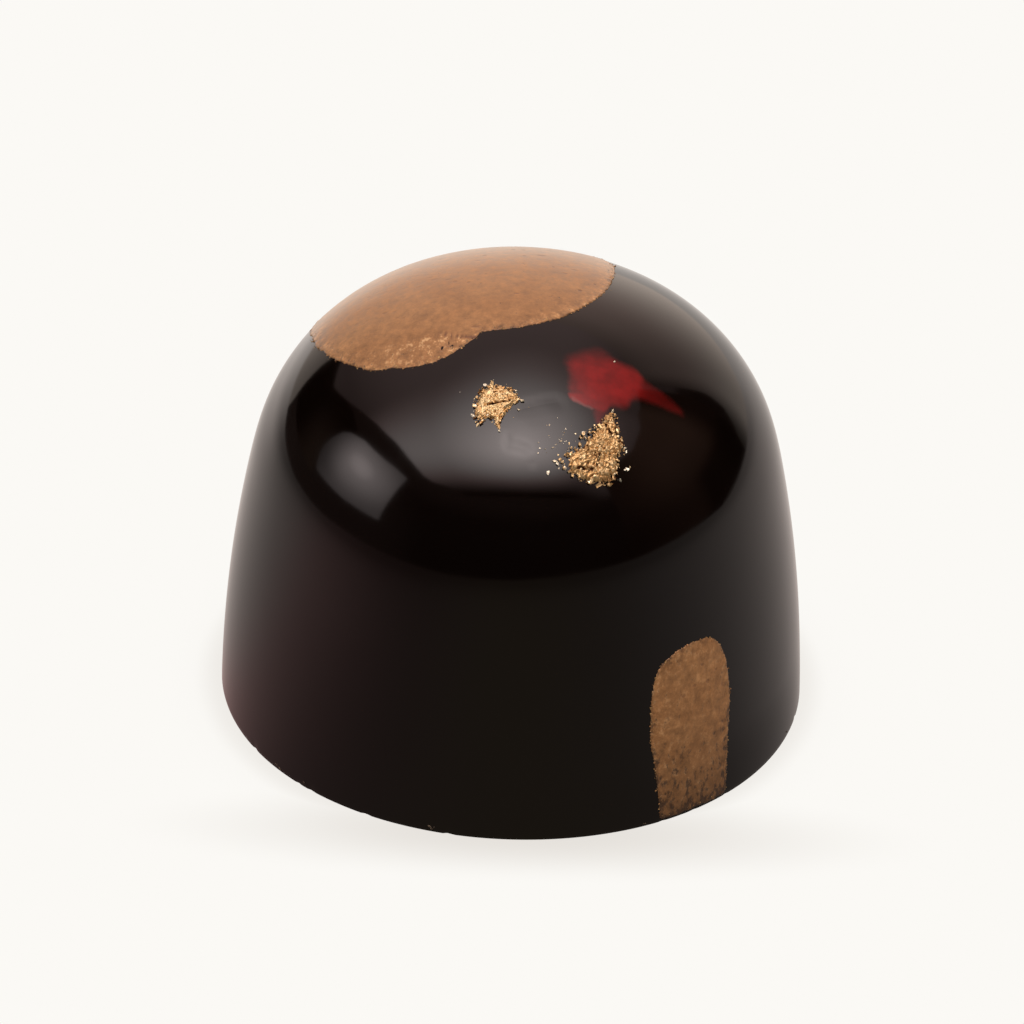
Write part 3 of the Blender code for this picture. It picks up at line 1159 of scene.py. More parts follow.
@dataclass
class Film:
    """A thin film on the shell, with a ragged rim.

    A crown film's outline is seen from above, and a wall film's from straight outside, at its bearing.
    """

    name: str
    side: Side
    outline: tuple[Point2, ...]
    heart: Point2
    seed: int
    slot: Slot = Slot.BRONZE
    bearing: float = 0.0
    spacing: float = 0.065 * MM
    reach: float = 6.0 * MM
    thickness: float = 0.036 * MM
    root: float = 0.03 * MM
    rounding: float = 0.075 * MM
    underside: float = 0.05 * MM
    ragged: float = 0.055 * MM
    ragged_size: float = 0.16 * MM
    wander: float = 0.05 * MM
    inner_step: float = 0.26 * MM
    rim_grain: float = 0.026 * MM
    rim_reach: float = 0.12 * MM
    inner_grain: float = 0.0015 * MM
    piece: Piece = field(init=False)

    def rim(self) -> np.ndarray:
        """The flat outline, made ragged.

        Returns:
            Rows of two flat coordinates.
        """
        loop = smooth_loop(self.outline, self.spacing)
        away = loop - np.array(self.heart)
        away /= np.linalg.norm(away, axis=1)[:, None]
        flat = np.column_stack([loop, np.zeros(len(loop))])
        draw = random.Random(self.seed)
        jitter = np.array([draw.uniform(-1.0, 1.0) for _ in loop])
        shift = field_noise(flat, 1.1 * MM, self.seed, 2) * self.wander
        shift += field_noise(flat, self.ragged_size, self.seed + 40.0, 2) * self.ragged
        shift += jitter * self.ragged * 0.4
        return loop + away * shift[:, None]

    def shares(self) -> list[float]:
        """How far each ring of points is scaled towards the heart: fine at the rim, coarser inside.

        Returns:
            One share for each ring, from the rim inwards.
        """
        steps = np.array([0.03, 0.035, 0.045, 0.06, 0.08, 0.10, 0.13, 0.16, 0.20]) * MM
        gone = np.cumsum(np.minimum(steps, self.inner_step))
        inner = np.arange(gone[-1] + self.inner_step, self.reach * 0.97, self.inner_step)
        return [1.0 - distance / self.reach for distance in (*gone, *inner)]

    def weave(self, rim: np.ndarray) -> None:
        """Starts from a circle that is fitted to the rim, and extrudes it ring by ring to the heart.

        Args:
            rim: the flat outline.
        """
        deselect_all()
        bpy.ops.mesh.primitive_circle_add(vertices=len(rim), radius=self.reach, fill_type="NOTHING")
        self.piece = bpy.context.object
        set_points(self.piece, np.column_stack([rim, np.zeros(len(rim))]))
        heart = (*self.heart, 0.0)
        bpy.ops.object.mode_set(mode="EDIT")
        bpy.ops.mesh.select_all(action="SELECT")
        before = 1.0
        for share in self.shares():
            bpy.ops.mesh.extrude_region_move(TRANSFORM_OT_translate={"value": (0.0, 0.0, 0.0)})
            factor = share / before
            bpy.ops.transform.resize(value=(factor, factor, 1.0), center_override=heart)
            before = share
        bpy.ops.mesh.merge(type="CENTER")
        bpy.ops.object.mode_set(mode="OBJECT")

    def lay(self, shape: DomeShape, rim: np.ndarray) -> None:
        """Lays the flat film on the dome, rounds its rim and gives it its relief.

        Args:
            shape: the dome.
            rim: the flat outline.
        """
        flat = points_of(self.piece)
        tree = KDTree(len(rim))
        for index, point in enumerate(rim):
            tree.insert((*point, 0.0), index)
        tree.balance()
        distance = np.array([tree.find(p)[2] for p in flat])
        inside = np.clip(distance / self.rounding, 0.0, 1.0)
        relief = self.relief(flat, np.exp(-distance / self.rim_reach))
        lift = -self.root + (self.thickness + self.root) * np.sqrt(1.0 - (1.0 - inside) ** 2)
        lift = np.maximum(lift + inside * relief, -self.root)
        points = np.array([tuple(self.on_dome(shape, p, float(h))) for p, h in zip(flat, lift)])
        set_points(self.piece, points)
        set_attribute(self.piece, "rim", np.exp(-distance / (2.8 * self.rim_reach)))
        # painted shade: a thin dark line along the rim, where the film meets the shell
        set_attribute(self.piece, "edge", np.exp(-distance / (0.035 * MM)))
        self.mark_finish(flat, relief)

    def relief(self, flat: np.ndarray, near_rim: np.ndarray) -> np.ndarray:
        """How far the surface rises and falls.

        Args:
            flat: the flat points.
            near_rim: 1 at the rim, fading inwards.

        Returns:
            One height for each point, in metres.
        """
        amount = np.maximum(near_rim, self.rough_layer(flat) * 0.75)
        grain = field_noise(flat, 0.17 * MM, self.seed + 7.0, 3)
        height = (self.inner_grain + self.rim_grain * amount) * grain
        height += 0.006 * MM * field_noise(flat, 1.8 * MM, self.seed + 3.0, 2)
        return height - self.step_down(flat)

    def mark_finish(self, flat: np.ndarray, relief: np.ndarray) -> None:
        """Writes the attributes that the finish reads.

        Args:
            flat: the flat points.
            relief: each point's height in the relief; not used here.
        """
        set_attribute(self.piece, "rough_layer", self.rough_layer(flat))
        # the mask of wear and painted shade, stronger towards the base on the stripe
        set_attribute(self.piece, "wear_and_base_shade", self.wear_and_base_shade(flat))
        set_attribute(self.piece, "seam", self.seam(flat))

    def on_dome(self, shape: DomeShape, flat: np.ndarray, lift: float) -> Vector:
        """The point of the dome under a flat point.

        Args:
            shape: the dome.
            flat: the flat point.
            lift: how far it is moved out.

        Returns:
            The point on the dome.
        """
        if self.side is Side.CROWN:
            return shape.place(float(flat[0]), float(flat[1]), lift)[0]
        turn = math.degrees(math.asin(float(flat[0]) / shape.base_radius))
        return shape.place_on_wall(self.bearing + turn, float(flat[1]), lift)[0]

    def rough_layer(self, flat: np.ndarray) -> np.ndarray:
        """Where the film is a coarse first coat. A plain film has none."""
        return np.zeros(len(flat))

    def step_down(self, flat: np.ndarray) -> np.ndarray:
        """How much lower the film lies where only the first coat is. A plain film has one coat."""
        return np.zeros(len(flat))

    def seam(self, flat: np.ndarray) -> np.ndarray:
        """Where the second coat's edge shows as a thin dark line. A plain film has none."""
        return np.zeros(len(flat))

    def wear_and_base_shade(self, flat: np.ndarray) -> np.ndarray:
        """How much wear and painted shade the film has at each point."""
        return np.zeros(len(flat))

    def model(self, shape: DomeShape) -> None:
        """Models the film as a closed body that is partly sunk in the shell.

        Args:
            shape: the dome that it lies on.
        """
        rim = self.rim()
        self.weave(rim)
        self.lay(shape, rim)
        deselect_all()
        self.piece.select_set(True)
        bpy.context.view_layer.objects.active = self.piece
        self.face_outwards()
        apply_modifier(self.piece, "SOLIDIFY", thickness=self.underside, offset=-1.0)
        self.piece.data.shade_smooth()

    def build(self, shape: DomeShape, material: bpy.types.Material) -> None:
        """Models the film and dresses it.

        Args:
            shape: the dome that it lies on.
            material: its finish.
        """
        self.model(shape)
        finish_piece(self.piece, self.name, material)

    def face_outwards(self) -> None:
        """Makes the sheet's faces agree, and turns them round if they point into the praline."""
        bpy.ops.object.mode_set(mode="EDIT")
        bpy.ops.mesh.select_all(action="SELECT")
        bpy.ops.mesh.normals_make_consistent(inside=False)
        bpy.ops.object.mode_set(mode="OBJECT")
        middle = Vector((0.0, 0.0, 8.0 * MM))
        faces = self.piece.data.polygons
        if sum(1 if face.normal.dot(face.center - middle) > 0 else -1 for face in faces) < 0:
            self.piece.data.flip_normals()


@dataclass
class CrownFilm(Film):
    """The crown's film: a smooth second coat over a coarse first coat, which shows as a lobe in front."""

    coat_edge: tuple[Point2, ...] = in_mm(
        (-8.7, -1.1), (-8.0, -1.95), (-7.25, -2.4), (-6.55, -2.62), (-5.6, -2.8), (-4.7, -2.82),
        (-4.2, -2.72), (-3.7, -2.86), (-3.3, -3.08), (-2.8, -3.28), (-2.45, -3.38), (-2.05, -3.44),
    )
    coat_step: float = 0.026 * MM
    step_reach: float = 4.5 * MM
    seam_start: float = -3.95 * MM
    coarse_start: float = -8.2 * MM
    coarse_reach: float = 3.4 * MM

    def in_front(self, flat: np.ndarray) -> np.ndarray:
        """Distance in front of the second coat's edge, and far behind it where there is one coat.

        Args:
            flat: the flat points.

        Returns:
            One distance for each point, in metres.
        """
        edge = np.array(self.coat_edge)
        ragged = field_noise(flat * np.array([1.0, 0.0, 1.0]), 0.4 * MM, 21.0, 3) * 0.05 * MM
        front = np.interp(flat[:, 0], edge[:, 0], edge[:, 1]) + ragged - flat[:, 1]
        return np.where((flat[:, 0] > edge[0, 0]) & (flat[:, 0] < edge[-1, 0]), front, -1.0 * MM)

    def stepped(self, flat: np.ndarray) -> np.ndarray:
        """How much of a step the edge has: none at the left, where the two coats run together."""
        return np.clip((flat[:, 0] - self.coat_edge[0][0]) / self.step_reach, 0.0, 1.0)

    def rough_layer(self, flat: np.ndarray) -> np.ndarray:
        """The coarse first coat in front of the second coat's edge.

        Args:
            flat: the flat points.

        Returns:
            How coarse the film is at each point, from 0 to 1.
        """
        soft = (0.55 - 0.45 * self.stepped(flat)) * MM
        right = np.clip((flat[:, 0] - self.coarse_start) / self.coarse_reach, 0.0, 1.0)
        return np.clip(self.in_front(flat) / soft, 0.0, 1.0) * right

    def step_down(self, flat: np.ndarray) -> np.ndarray:
        """The step at the second coat's edge."""
        return np.clip(self.in_front(flat) / (0.06 * MM), 0.0, 1.0) * self.stepped(flat) * self.coat_step

    def seam(self, flat: np.ndarray) -> np.ndarray:
        """The dark line under the second coat's edge, at the right end of the lobe."""
        line = np.exp(-((self.in_front(flat) - 0.04 * MM) / (0.06 * MM)) ** 2)
        return line * np.clip((flat[:, 0] - self.seam_start) / (0.4 * MM), 0.0, 1.0)


@dataclass
class WallFilm(Film):
    """The stripe on the wall: coarse, most of all at its top and left, with more wear and a painted shade
    towards the base.
    """

    worn_from: float = 6.3 * MM
    top: float = 8.8 * MM

    def rough_layer(self, flat: np.ndarray) -> np.ndarray:
        """A coarse coat, coarser towards the top, the base and the left.

        Args:
            flat: the flat points.

        Returns:
            How coarse the film is at each point, from 0 to 1.
        """
        height = flat[:, 1]
        upper = 0.34 * np.exp(-(self.top - height) / (1.0 * MM))
        lower = 0.45 * np.clip(1.0 - height / (4.5 * MM), 0.0, 1.0)
        left = 0.30 * np.clip((-flat[:, 0] - 1.0 * MM) / (1.2 * MM), 0.0, 1.0)
        return np.clip(0.17 + upper + lower + left, 0.0, 0.85)

    def wear_and_base_shade(self, flat: np.ndarray) -> np.ndarray:
        """More wear and more painted shade towards the base."""
        return np.clip(1.0 - flat[:, 1] / self.worn_from, 0.0, 1.0) ** 1.5


@dataclass
class GoldBody(Film):
    """The body of a pinch of gold: crumpled leaf, or a bed of packed crumbs."""

    creases: tuple[tuple[Point2, ...], ...] = ()
    folds: tuple[tuple[float, float], ...] = (
        (0.34 * MM, 0.050 * MM), (0.18 * MM, 0.055 * MM), (0.09 * MM, 0.045 * MM),
    )
    crease_width: float = 0.045 * MM
    crease_depth: float = 0.10 * MM
    # painted shade: a low value darkens the bed that shows between the grains
    shade: float = 0.2

    def creased(self, flat: np.ndarray) -> np.ndarray:
        """How close each point is to a crease.

        Args:
            flat: the flat points.

        Returns:
            One value for each point: 1 in a crease and 0 away from it.
        """
        nearest = np.full(len(flat), 1.0)
        for crease in self.creases:
            line = np.array(crease)
            for start, end in zip(line[:-1], line[1:]):
                along = end - start
                share = np.clip((flat[:, :2] - start) @ along / (along @ along), 0.0, 1.0)
                away = np.linalg.norm(flat[:, :2] - start - share[:, None] * along, axis=1)
                nearest = np.minimum(nearest, away)
        return np.exp(-(nearest / self.crease_width) ** 2)

    def relief(self, flat: np.ndarray, near_rim: np.ndarray) -> np.ndarray:
        """Sharp folds of several sizes, with the creases cut into them.

        Args:
            flat: the flat points.
            near_rim: 1 at the rim, fading inwards.

        Returns:
            One height for each point, in metres.
        """
        height = np.zeros(len(flat))
        for step, (size, depth) in enumerate(self.folds):
            height += (1.0 - 2.0 * np.abs(field_noise(flat, size, self.seed + 11.0 * step, 2))) * depth
        return height * (1.0 - 0.6 * near_rim) - self.crease_depth * self.creased(flat)

    def mark_finish(self, flat: np.ndarray, relief: np.ndarray) -> None:
        """Writes the shade that the gold reads: painted light and shade from the relief, pale on the folds,
        deep between them and dark in a crease, with random patches.

        Args:
            flat: the flat points.
            relief: each point's height in the relief.
        """
        total = sum(depth for _, depth in self.folds)
        patches = 0.35 * field_noise(flat, 0.30 * MM, self.seed + 60.0, 2)
        # painted light and shade: the folds lighter, the hollows and creases darker
        shade = self.shade + 0.75 * relief / total + patches - 0.9 * self.creased(flat)
        set_attribute(self.piece, "shade", shade)


# Scattered grains

@dataclass(frozen=True)
class Grain:
    """One small model that is copied many times: its points and its faces."""

    points: np.ndarray
    faces: list[tuple[int, ...]]


class GrainKind(Enum):
    """The small shapes that are scattered."""

    CRUMB = "crumb"
    LEAF = "leaf"


GrainSet = dict[GrainKind, list[Grain]]


def model_grain(kind: GrainKind, seed: int) -> Grain:
    """Models one grain by hand, about one unit in radius, and takes its mesh.

    Args:
        kind: a blocky crumb or a crumpled scrap of leaf.
        seed: makes each grain a little different.

    Returns:
        The grain.
    """
    deselect_all()
    if kind is GrainKind.CRUMB:
        bpy.ops.mesh.primitive_ico_sphere_add(subdivisions=1, radius=1.0)
    else:
        bpy.ops.mesh.primitive_grid_add(x_subdivisions=3, y_subdivisions=3, size=1.8)
    piece = bpy.context.object
    bpy.ops.object.mode_set(mode="EDIT")
    bpy.ops.mesh.select_all(action="SELECT")
    bpy.ops.transform.vertex_random(offset=0.32, uniform=0.7, normal=0.3, seed=seed)
    bpy.ops.object.mode_set(mode="OBJECT")
    if kind is GrainKind.LEAF:
        points = points_of(piece)
        draw = random.Random(seed)
        points[:, 2] += np.array([draw.uniform(-0.35, 0.35) for _ in points])
        set_points(piece, points)
        apply_modifier(piece, "SOLIDIFY", thickness=0.12, offset=0.0)
    grain = Grain(points_of(piece), [tuple(face.vertices) for face in piece.data.polygons])
    bpy.data.objects.remove(piece)
    return grain


@dataclass(frozen=True)
class Placement:
    """Where and how one copy of a grain lies."""

    point: Vector
    normal: Vector
    size: tuple[float, float, float]
    turn: float
    tilt: float
    shade: float


def join_grains(grains: Sequence[Grain], placements: Sequence[Placement]) -> Piece:
    """Makes one mesh of many copies.

    Args:
        grains: the models, which are used in turn.
        placements: where the copies lie.

    Returns:
        The joined object, with a shade for each copy.
    """
    points, faces, shades = [], [], []
    total = 0
    for index, spot in enumerate(placements):
        grain = grains[index % len(grains)]
        stand = spot.normal.to_track_quat("Z", "Y").to_matrix()
        pose = Euler((spot.tilt, 0.0, spot.turn)).to_matrix()
        spin = Matrix.Rotation(spot.turn * 2.3, 3, "Z")
        matrix = np.array(stand @ pose @ spin) @ np.diag(spot.size)
        points.append(grain.points @ matrix.T + np.array(spot.point))
        faces += [tuple(corner + total for corner in face) for face in grain.faces]
        shades += [spot.shade] * len(grain.points)
        total += len(grain.points)
    mesh = bpy.data.meshes.new("grains")
    mesh.from_pydata(np.concatenate(points).tolist(), [], faces)
    piece = bpy.data.objects.new("grains", mesh)
    bpy.context.scene.collection.objects.link(piece)
    set_attribute(piece, "shade", np.array(shades))
    return piece


def inside_loop(point: np.ndarray, loop: np.ndarray) -> bool:
    """Whether a flat point is inside a closed loop, by counting crossings.

    Args:
        point: the flat point.
        loop: the loop's points in order, as rows.

    Returns:
        Whether the point is inside.
    """
    after = np.roll(loop, -1, axis=0)
    spans = (loop[:, 1] > point[1]) != (after[:, 1] > point[1])
    rise = np.where(spans, after[:, 1] - loop[:, 1], 1.0)
    cross = loop[:, 0] + (point[1] - loop[:, 1]) * (after[:, 0] - loop[:, 0]) / rise
    return bool(np.count_nonzero(spans & (point[0] < cross)) % 2)


@dataclass
class GoldPinch:
    """A pinch of gold: a crumpled body, scraps and crumbs on it, nodules at its ends, and dust beside it."""

    name: str
    body: GoldBody
    outline: tuple[Point2, ...]
    scraps: int
    crumbs: int
    fine: int
    seed: int
    nodules: tuple[Point2, ...] = ()
    strays: tuple[Point2, ...] = ()
    dust: int = 0
    dust_centre: Point2 = (0.0, 0.0)
    dust_reach: float = 0.8 * MM
    bare: float = 0.0
    bare_centre: Point2 = (0.0, 0.0)
    bare_reach: float = 0.8 * MM
    scrap_size: Span = (0.05 * MM, 0.10 * MM)
    crumb_size: Span = (0.030 * MM, 0.062 * MM)
    fine_size: Span = (0.014 * MM, 0.030 * MM)
    nodule_size: Span = (0.070 * MM, 0.105 * MM)
    dust_size: Span = (0.012 * MM, 0.045 * MM)
    stray_size: Span = (0.045 * MM, 0.070 * MM)
    heap: float = 0.16 * MM
    nodule_heap: float = 0.06 * MM

    def spots(self, count: int, draw: random.Random) -> list[np.ndarray]:
        """Random flat points inside the pinch, fewer of them round its bare place.

        Args:
            count: how many.
            draw: the random numbers.

        Returns:
            The points.
        """
        loop = smooth_loop(self.outline, 0.1 * MM)
        low, high = loop.min(axis=0), loop.max(axis=0)
        found: list[np.ndarray] = []
        while len(found) < count:
            spot = np.array([draw.uniform(low[0], high[0]), draw.uniform(low[1], high[1])])
            away = np.linalg.norm(spot - np.array(self.bare_centre)) / self.bare_reach
            if inside_loop(spot, loop) and draw.random() > self.bare * math.exp(-away ** 2):
                found.append(spot)
        return found

    @staticmethod
    def scatter(
        shape: DomeShape, spots: Sequence[np.ndarray], sizes: tuple[float, float], flat: float,
        draw: random.Random, heap: float, pale: float = 0.0,
    ) -> list[Placement]:
        """Lays one kind of grain on the dome.

        Args:
            shape: the dome.
            spots: flat points.
            sizes: the smallest and the largest radius.
            flat: how thick a grain is against its width.
            draw: the random numbers.
            heap: how high the grains are heaped.
            pale: how much paler they are than the rest.

        Returns:
            Where the copies lie.
        """
        placed = []
        for spot in spots:
            radius = sizes[0] + (sizes[1] - sizes[0]) * draw.random() ** 1.5
            level = draw.random()
            point, normal = shape.place(float(spot[0]), float(spot[1]), heap * level + radius * 0.2)
            size = (radius * draw.uniform(0.95, 1.55), radius * draw.uniform(0.6, 1.0), radius * flat)
            # painted shade: grains lower in the heap are darker, with random tone on top
            shade = -0.08 + 0.6 * level + draw.uniform(-0.35, 0.6) + pale
            turn, tilt = draw.uniform(0.0, math.tau), draw.gauss(0.0, 0.5)
            placed.append(Placement(point, normal, size, turn, tilt, shade))
        return placed

    def build(self, shape: DomeShape, grains: GrainSet, material: bpy.types.Material) -> None:
        """Models the body, scatters the grains on it, and dresses the pinch.

        Args:
            shape: the dome.
            grains: the models of each kind.
            material: the gold.
        """
        draw = random.Random(self.seed)
        scraps = self.scatter(shape, self.spots(self.scraps, draw), self.scrap_size, 0.7, draw, self.heap)
        crumbs = self.scatter(shape, self.spots(self.crumbs, draw), self.crumb_size, 0.6, draw, self.heap)
        crumbs += self.scatter(shape, self.spots(self.fine, draw), self.fine_size, 0.7, draw, self.heap)
        ends = [np.array(point) for point in self.nodules]
        # painted highlight: nodules, dust and strays are made pale enough to reach the gold's near-white
        crumbs += self.scatter(shape, ends, self.nodule_size, 0.7, draw, self.nodule_heap, 1.35)
        specks = []
        for _ in range(self.dust):
            away = np.array([draw.gauss(0.0, 0.5), draw.gauss(0.0, 0.35)])
            specks.append(np.array(self.dust_centre) + away * self.dust_reach)
        crumbs += self.scatter(shape, specks, self.dust_size, 0.6, draw, 0.0, 1.0)
        lone = [np.array(point) for point in self.strays]
        crumbs += self.scatter(shape, lone, self.stray_size, 0.75, draw, 0.0, 1.5)
        self.body.model(shape)
        crumb_mesh = join_grains(grains[GrainKind.CRUMB], crumbs)
        pieces = [self.body.piece, crumb_mesh, join_grains(grains[GrainKind.LEAF], scraps)]
        deselect_all()
        for piece in pieces:
            piece.select_set(True)
        bpy.context.view_layer.objects.active = pieces[0]
        bpy.ops.object.join()
        finish_piece(bpy.context.object, self.name, material)


@dataclass
class RimCrumbs:
    """Fine grains of lustre along the rim of a film."""

    name: str
    film: Film
    count: int
    seed: int
    size: tuple[float, float] = (0.014 * MM, 0.062 * MM)
    spread: float = 0.085 * MM
    lowest: float = 0.2 * MM
    middle: float = 6.0 * MM

    def build(self, shape: DomeShape, grains: GrainSet, material: bpy.types.Material) -> None:
        """Scatters the grains along the rim and dresses them.

        Args:
            shape: the dome.
            grains: the models of each kind.
            material: their finish.
        """
        draw = random.Random(self.seed)
        rim = self.film.rim()
        placed = []
        while len(placed) < self.count:
            spot = rim[draw.randrange(len(rim))]
            away = spot - np.array(self.film.heart)
            spot = spot - away / np.linalg.norm(away) * draw.gauss(1.0, 0.75) * self.spread
            if self.film.side is Side.WALL and spot[1] < self.lowest:
                continue
            radius = self.size[0] + (self.size[1] - self.size[0]) * draw.random() ** 2.2
            point = self.film.on_dome(shape, spot, draw.uniform(-0.4, 0.8) * self.film.thickness)
            normal = (point - Vector((0.0, 0.0, self.middle))).normalized()
            size = tuple(radius * draw.uniform(*span) for span in ((0.8, 1.4), (0.7, 1.0), (0.5, 0.8)))
            turn, tilt = draw.uniform(0.0, math.tau), draw.gauss(0.0, 0.5)
            placed.append(Placement(point, normal, size, turn, tilt, draw.uniform(-0.3, 0.9)))
        finish_piece(join_grains(grains[GrainKind.CRUMB], placed), self.name, material)


@dataclass
class BaseCrumbs:
    """Tiny crumbs of chocolate that cling to the edge of the base."""

    bearings: tuple[float, ...] = (
        -142.0, -140.5, -133.0, -104.5, -103.6, -62.5, -20.0, 25.0, 77.0, 121.0, 168.0,
    )
    copies: int = 2
    size: tuple[float, float] = (0.035 * MM, 0.075 * MM)
    seed: int = 8

    def build(self, shape: DomeShape, grains: GrainSet, material: bpy.types.Material) -> None:
        """Sets the crumbs along the edge and dresses them.

        Args:
            shape: the dome.
            grains: the models of each kind.
            material: their finish.
        """
        draw = random.Random(self.seed)
        placed = []
        for bearing in self.bearings:
            for _ in range(self.copies):
                radius = draw.uniform(*self.size)
                beside = bearing + draw.gauss(0.0, 0.7)
                point, normal = shape.place_on_wall(beside, draw.uniform(0.1, 0.3) * MM)
                size = (radius * draw.uniform(0.9, 1.6), radius, radius * 0.6)
                turn = draw.uniform(0.0, math.tau)
                placed.append(Placement(point, normal, size, turn, 0.0, draw.random()))
        piece = join_grains(grains[GrainKind.CRUMB], placed)
        finish_piece(piece, "base_crumbs", material)


# The studio

@dataclass(frozen=True)
class Studio:
    """A pale floor, soft lights, and the cards that the gloss reflects, none of them part of the praline.

    Bearings on the cards run in degrees from the camera's side to the right, and rises from the horizon.
    """

    paper: Colour = (0.9647, 0.9473, 0.9131)
    shade: Colour = (0.16, 0.07, 0.0)
    camera_distance: float = 336.0 * MM
    camera_height: float = math.radians(31.944)
    camera_roll: float = 0.0287
    lens: float = 247.05
    sensor: float = 36.0
    aim: tuple[float, float, float] = (-0.1654 * MM, 0.0, 9.3328 * MM)
    seen_from: float = 15.0 * MM
    card_height: float = 0.6
    wall_distance: float = 0.55
    sky: float = 0.87
    ground: float = 0.17
    room: Colour = (0.060, 0.042, 0.037)
    key_power: float = 0.45

    def build(self) -> None:
        """Builds the floor, the cards, the lights and the camera."""
        self.floor()
        self.table()
        self.backdrop()
        self.overhead_card()
        self.left_card()
        self.far_left_card()
        self.right_card()
        self.world()
        self.key_light()
        self.camera()

    @staticmethod
    def glow(name: str) -> tuple[bpy.types.Material, NodeSheet]:
        """Makes a material that only glows.

        Args:
            name: the material's name.

        Returns:
            The material and its sheet.
        """
        material = bpy.data.materials.new(name)
        material.use_nodes = True
        material.node_tree.nodes.clear()
        sheet = NodeSheet(material.node_tree)
        light = sheet.add("ShaderNodeEmission")
        light.name = "light"
        sheet.add("ShaderNodeOutputMaterial", {"Surface": light.outputs[0]})
        material.cycles.emission_sampling = "NONE"
        return material, sheet

    @staticmethod
    def hang(
        card: Piece, material: bpy.types.Material, colour: Value, strength: Value = 1.0,
        in_view: bool = False,
    ) -> None:
        """Lets a stage object glow, and shows it either to the camera or in reflections.

        Args:
            card: the stage object.
            material: its glowing material.
            colour: the colour of its light.
            strength: the strength of its light.
            in_view: whether the camera sees it, and reflections don't.
        """
        light = material.node_tree.nodes["light"]
        NodeSheet(material.node_tree).feed_all(light, {"Color": colour, "Strength": strength})
        card.data.materials.append(material)
        card.visible_camera = in_view
        card.visible_glossy = not in_view
        card.visible_diffuse = False
        card.visible_shadow = False
        card.visible_transmission = False
        card.visible_volume_scatter = False

    def angles(self, sheet: NodeSheet) -> tuple[Socket, Socket]:
        """Where a point of a card is seen from the praline.

        Args:
            sheet: the card's sheet.

        Returns:
            Its bearing, from -180 to 180 degrees, and its rise.
        """
        seen = sheet.vector("SUBTRACT", sheet.place(), (0.0, 0.0, self.seen_from))
        parts = sheet.add("ShaderNodeSeparateXYZ", {0: seen})
        forward = sheet.product(parts.outputs["Y"], -1.0)
        bearing = sheet.math("DEGREES", sheet.math("ARCTAN2", parts.outputs["X"], forward))
        slope = sheet.math("DIVIDE", parts.outputs["Z"], sheet.vector("LENGTH", seen))
        return bearing, sheet.math("DEGREES", sheet.math("ARCSINE", slope))

    def towards(self, bearing: float, rise: float, distance: float) -> Vector:
        """The point in a direction from the praline.

        Args:
            bearing: the bearing in degrees.
            rise: the angle above the horizon in degrees.
            distance: how far away the point is.

        Returns:
            The point.
        """
        turn, lift = math.radians(bearing), math.radians(rise)
        flat = math.cos(lift) * distance
        height = math.sin(lift) * distance + self.seen_from
        return Vector((math.sin(turn) * flat, -math.cos(turn) * flat, height))

    def card(self, name: str, corners: Sequence[tuple[float, float, float]]) -> Piece:
        """Makes a card with these corners, from a filled circle.

        Args:
            name: its name.
            corners: the points that it joins, in order.

        Returns:
            The card.
        """
        deselect_all()
        bpy.ops.mesh.primitive_circle_add(vertices=len(corners), radius=1.0, fill_type="NGON")
        card = bpy.context.object
        card.name = name
        set_points(card, np.array([tuple(corner) for corner in corners]))
        return card

    def panel(self, name: str, distance: float, corners: Sequence[Point2]) -> Piece:
        """Makes a card from its corners' bearings and rises."""
        return self.card(name, [self.towards(bearing, rise, distance) for bearing, rise in corners])

    def floor(self) -> None:
        """The pale floor, with a soft shadow round the base that is deepest in front."""
        deselect_all()
        bpy.ops.mesh.primitive_plane_add(size=3.0, location=(0.0, 0.0, -0.02 * MM))
        floor = bpy.context.object
        floor.name = "floor"
        material, sheet = self.glow("pale_floor")
        flat = sheet.vector("MULTIPLY", sheet.place(), FROM_ABOVE)
        beyond = sheet.math("SUBTRACT", sheet.vector("LENGTH", flat), 14.0 * MM)
        contact = sheet.fade(beyond, 1.5 * MM, 0.0, 0.0, 0.11)
        halo = sheet.fade(beyond, 3.2 * MM, 0.0, 0.0, 0.018)
        front = sheet.vector("SUBTRACT", flat, (1.0 * MM, -13.4 * MM, 0.0))
        front = sheet.vector("MULTIPLY", front, (1 / (19.0 * MM), 1 / (4.05 * MM), 0.0))
        pool = sheet.fade(sheet.vector("LENGTH", front), 1.05, 0.12, 0.0, 0.20)
        shadow = sheet.math("ADD", sheet.math("MAXIMUM", contact, pool), halo)
        self.hang(floor, material, sheet.mix(shadow, self.paper, self.shade), in_view=True)

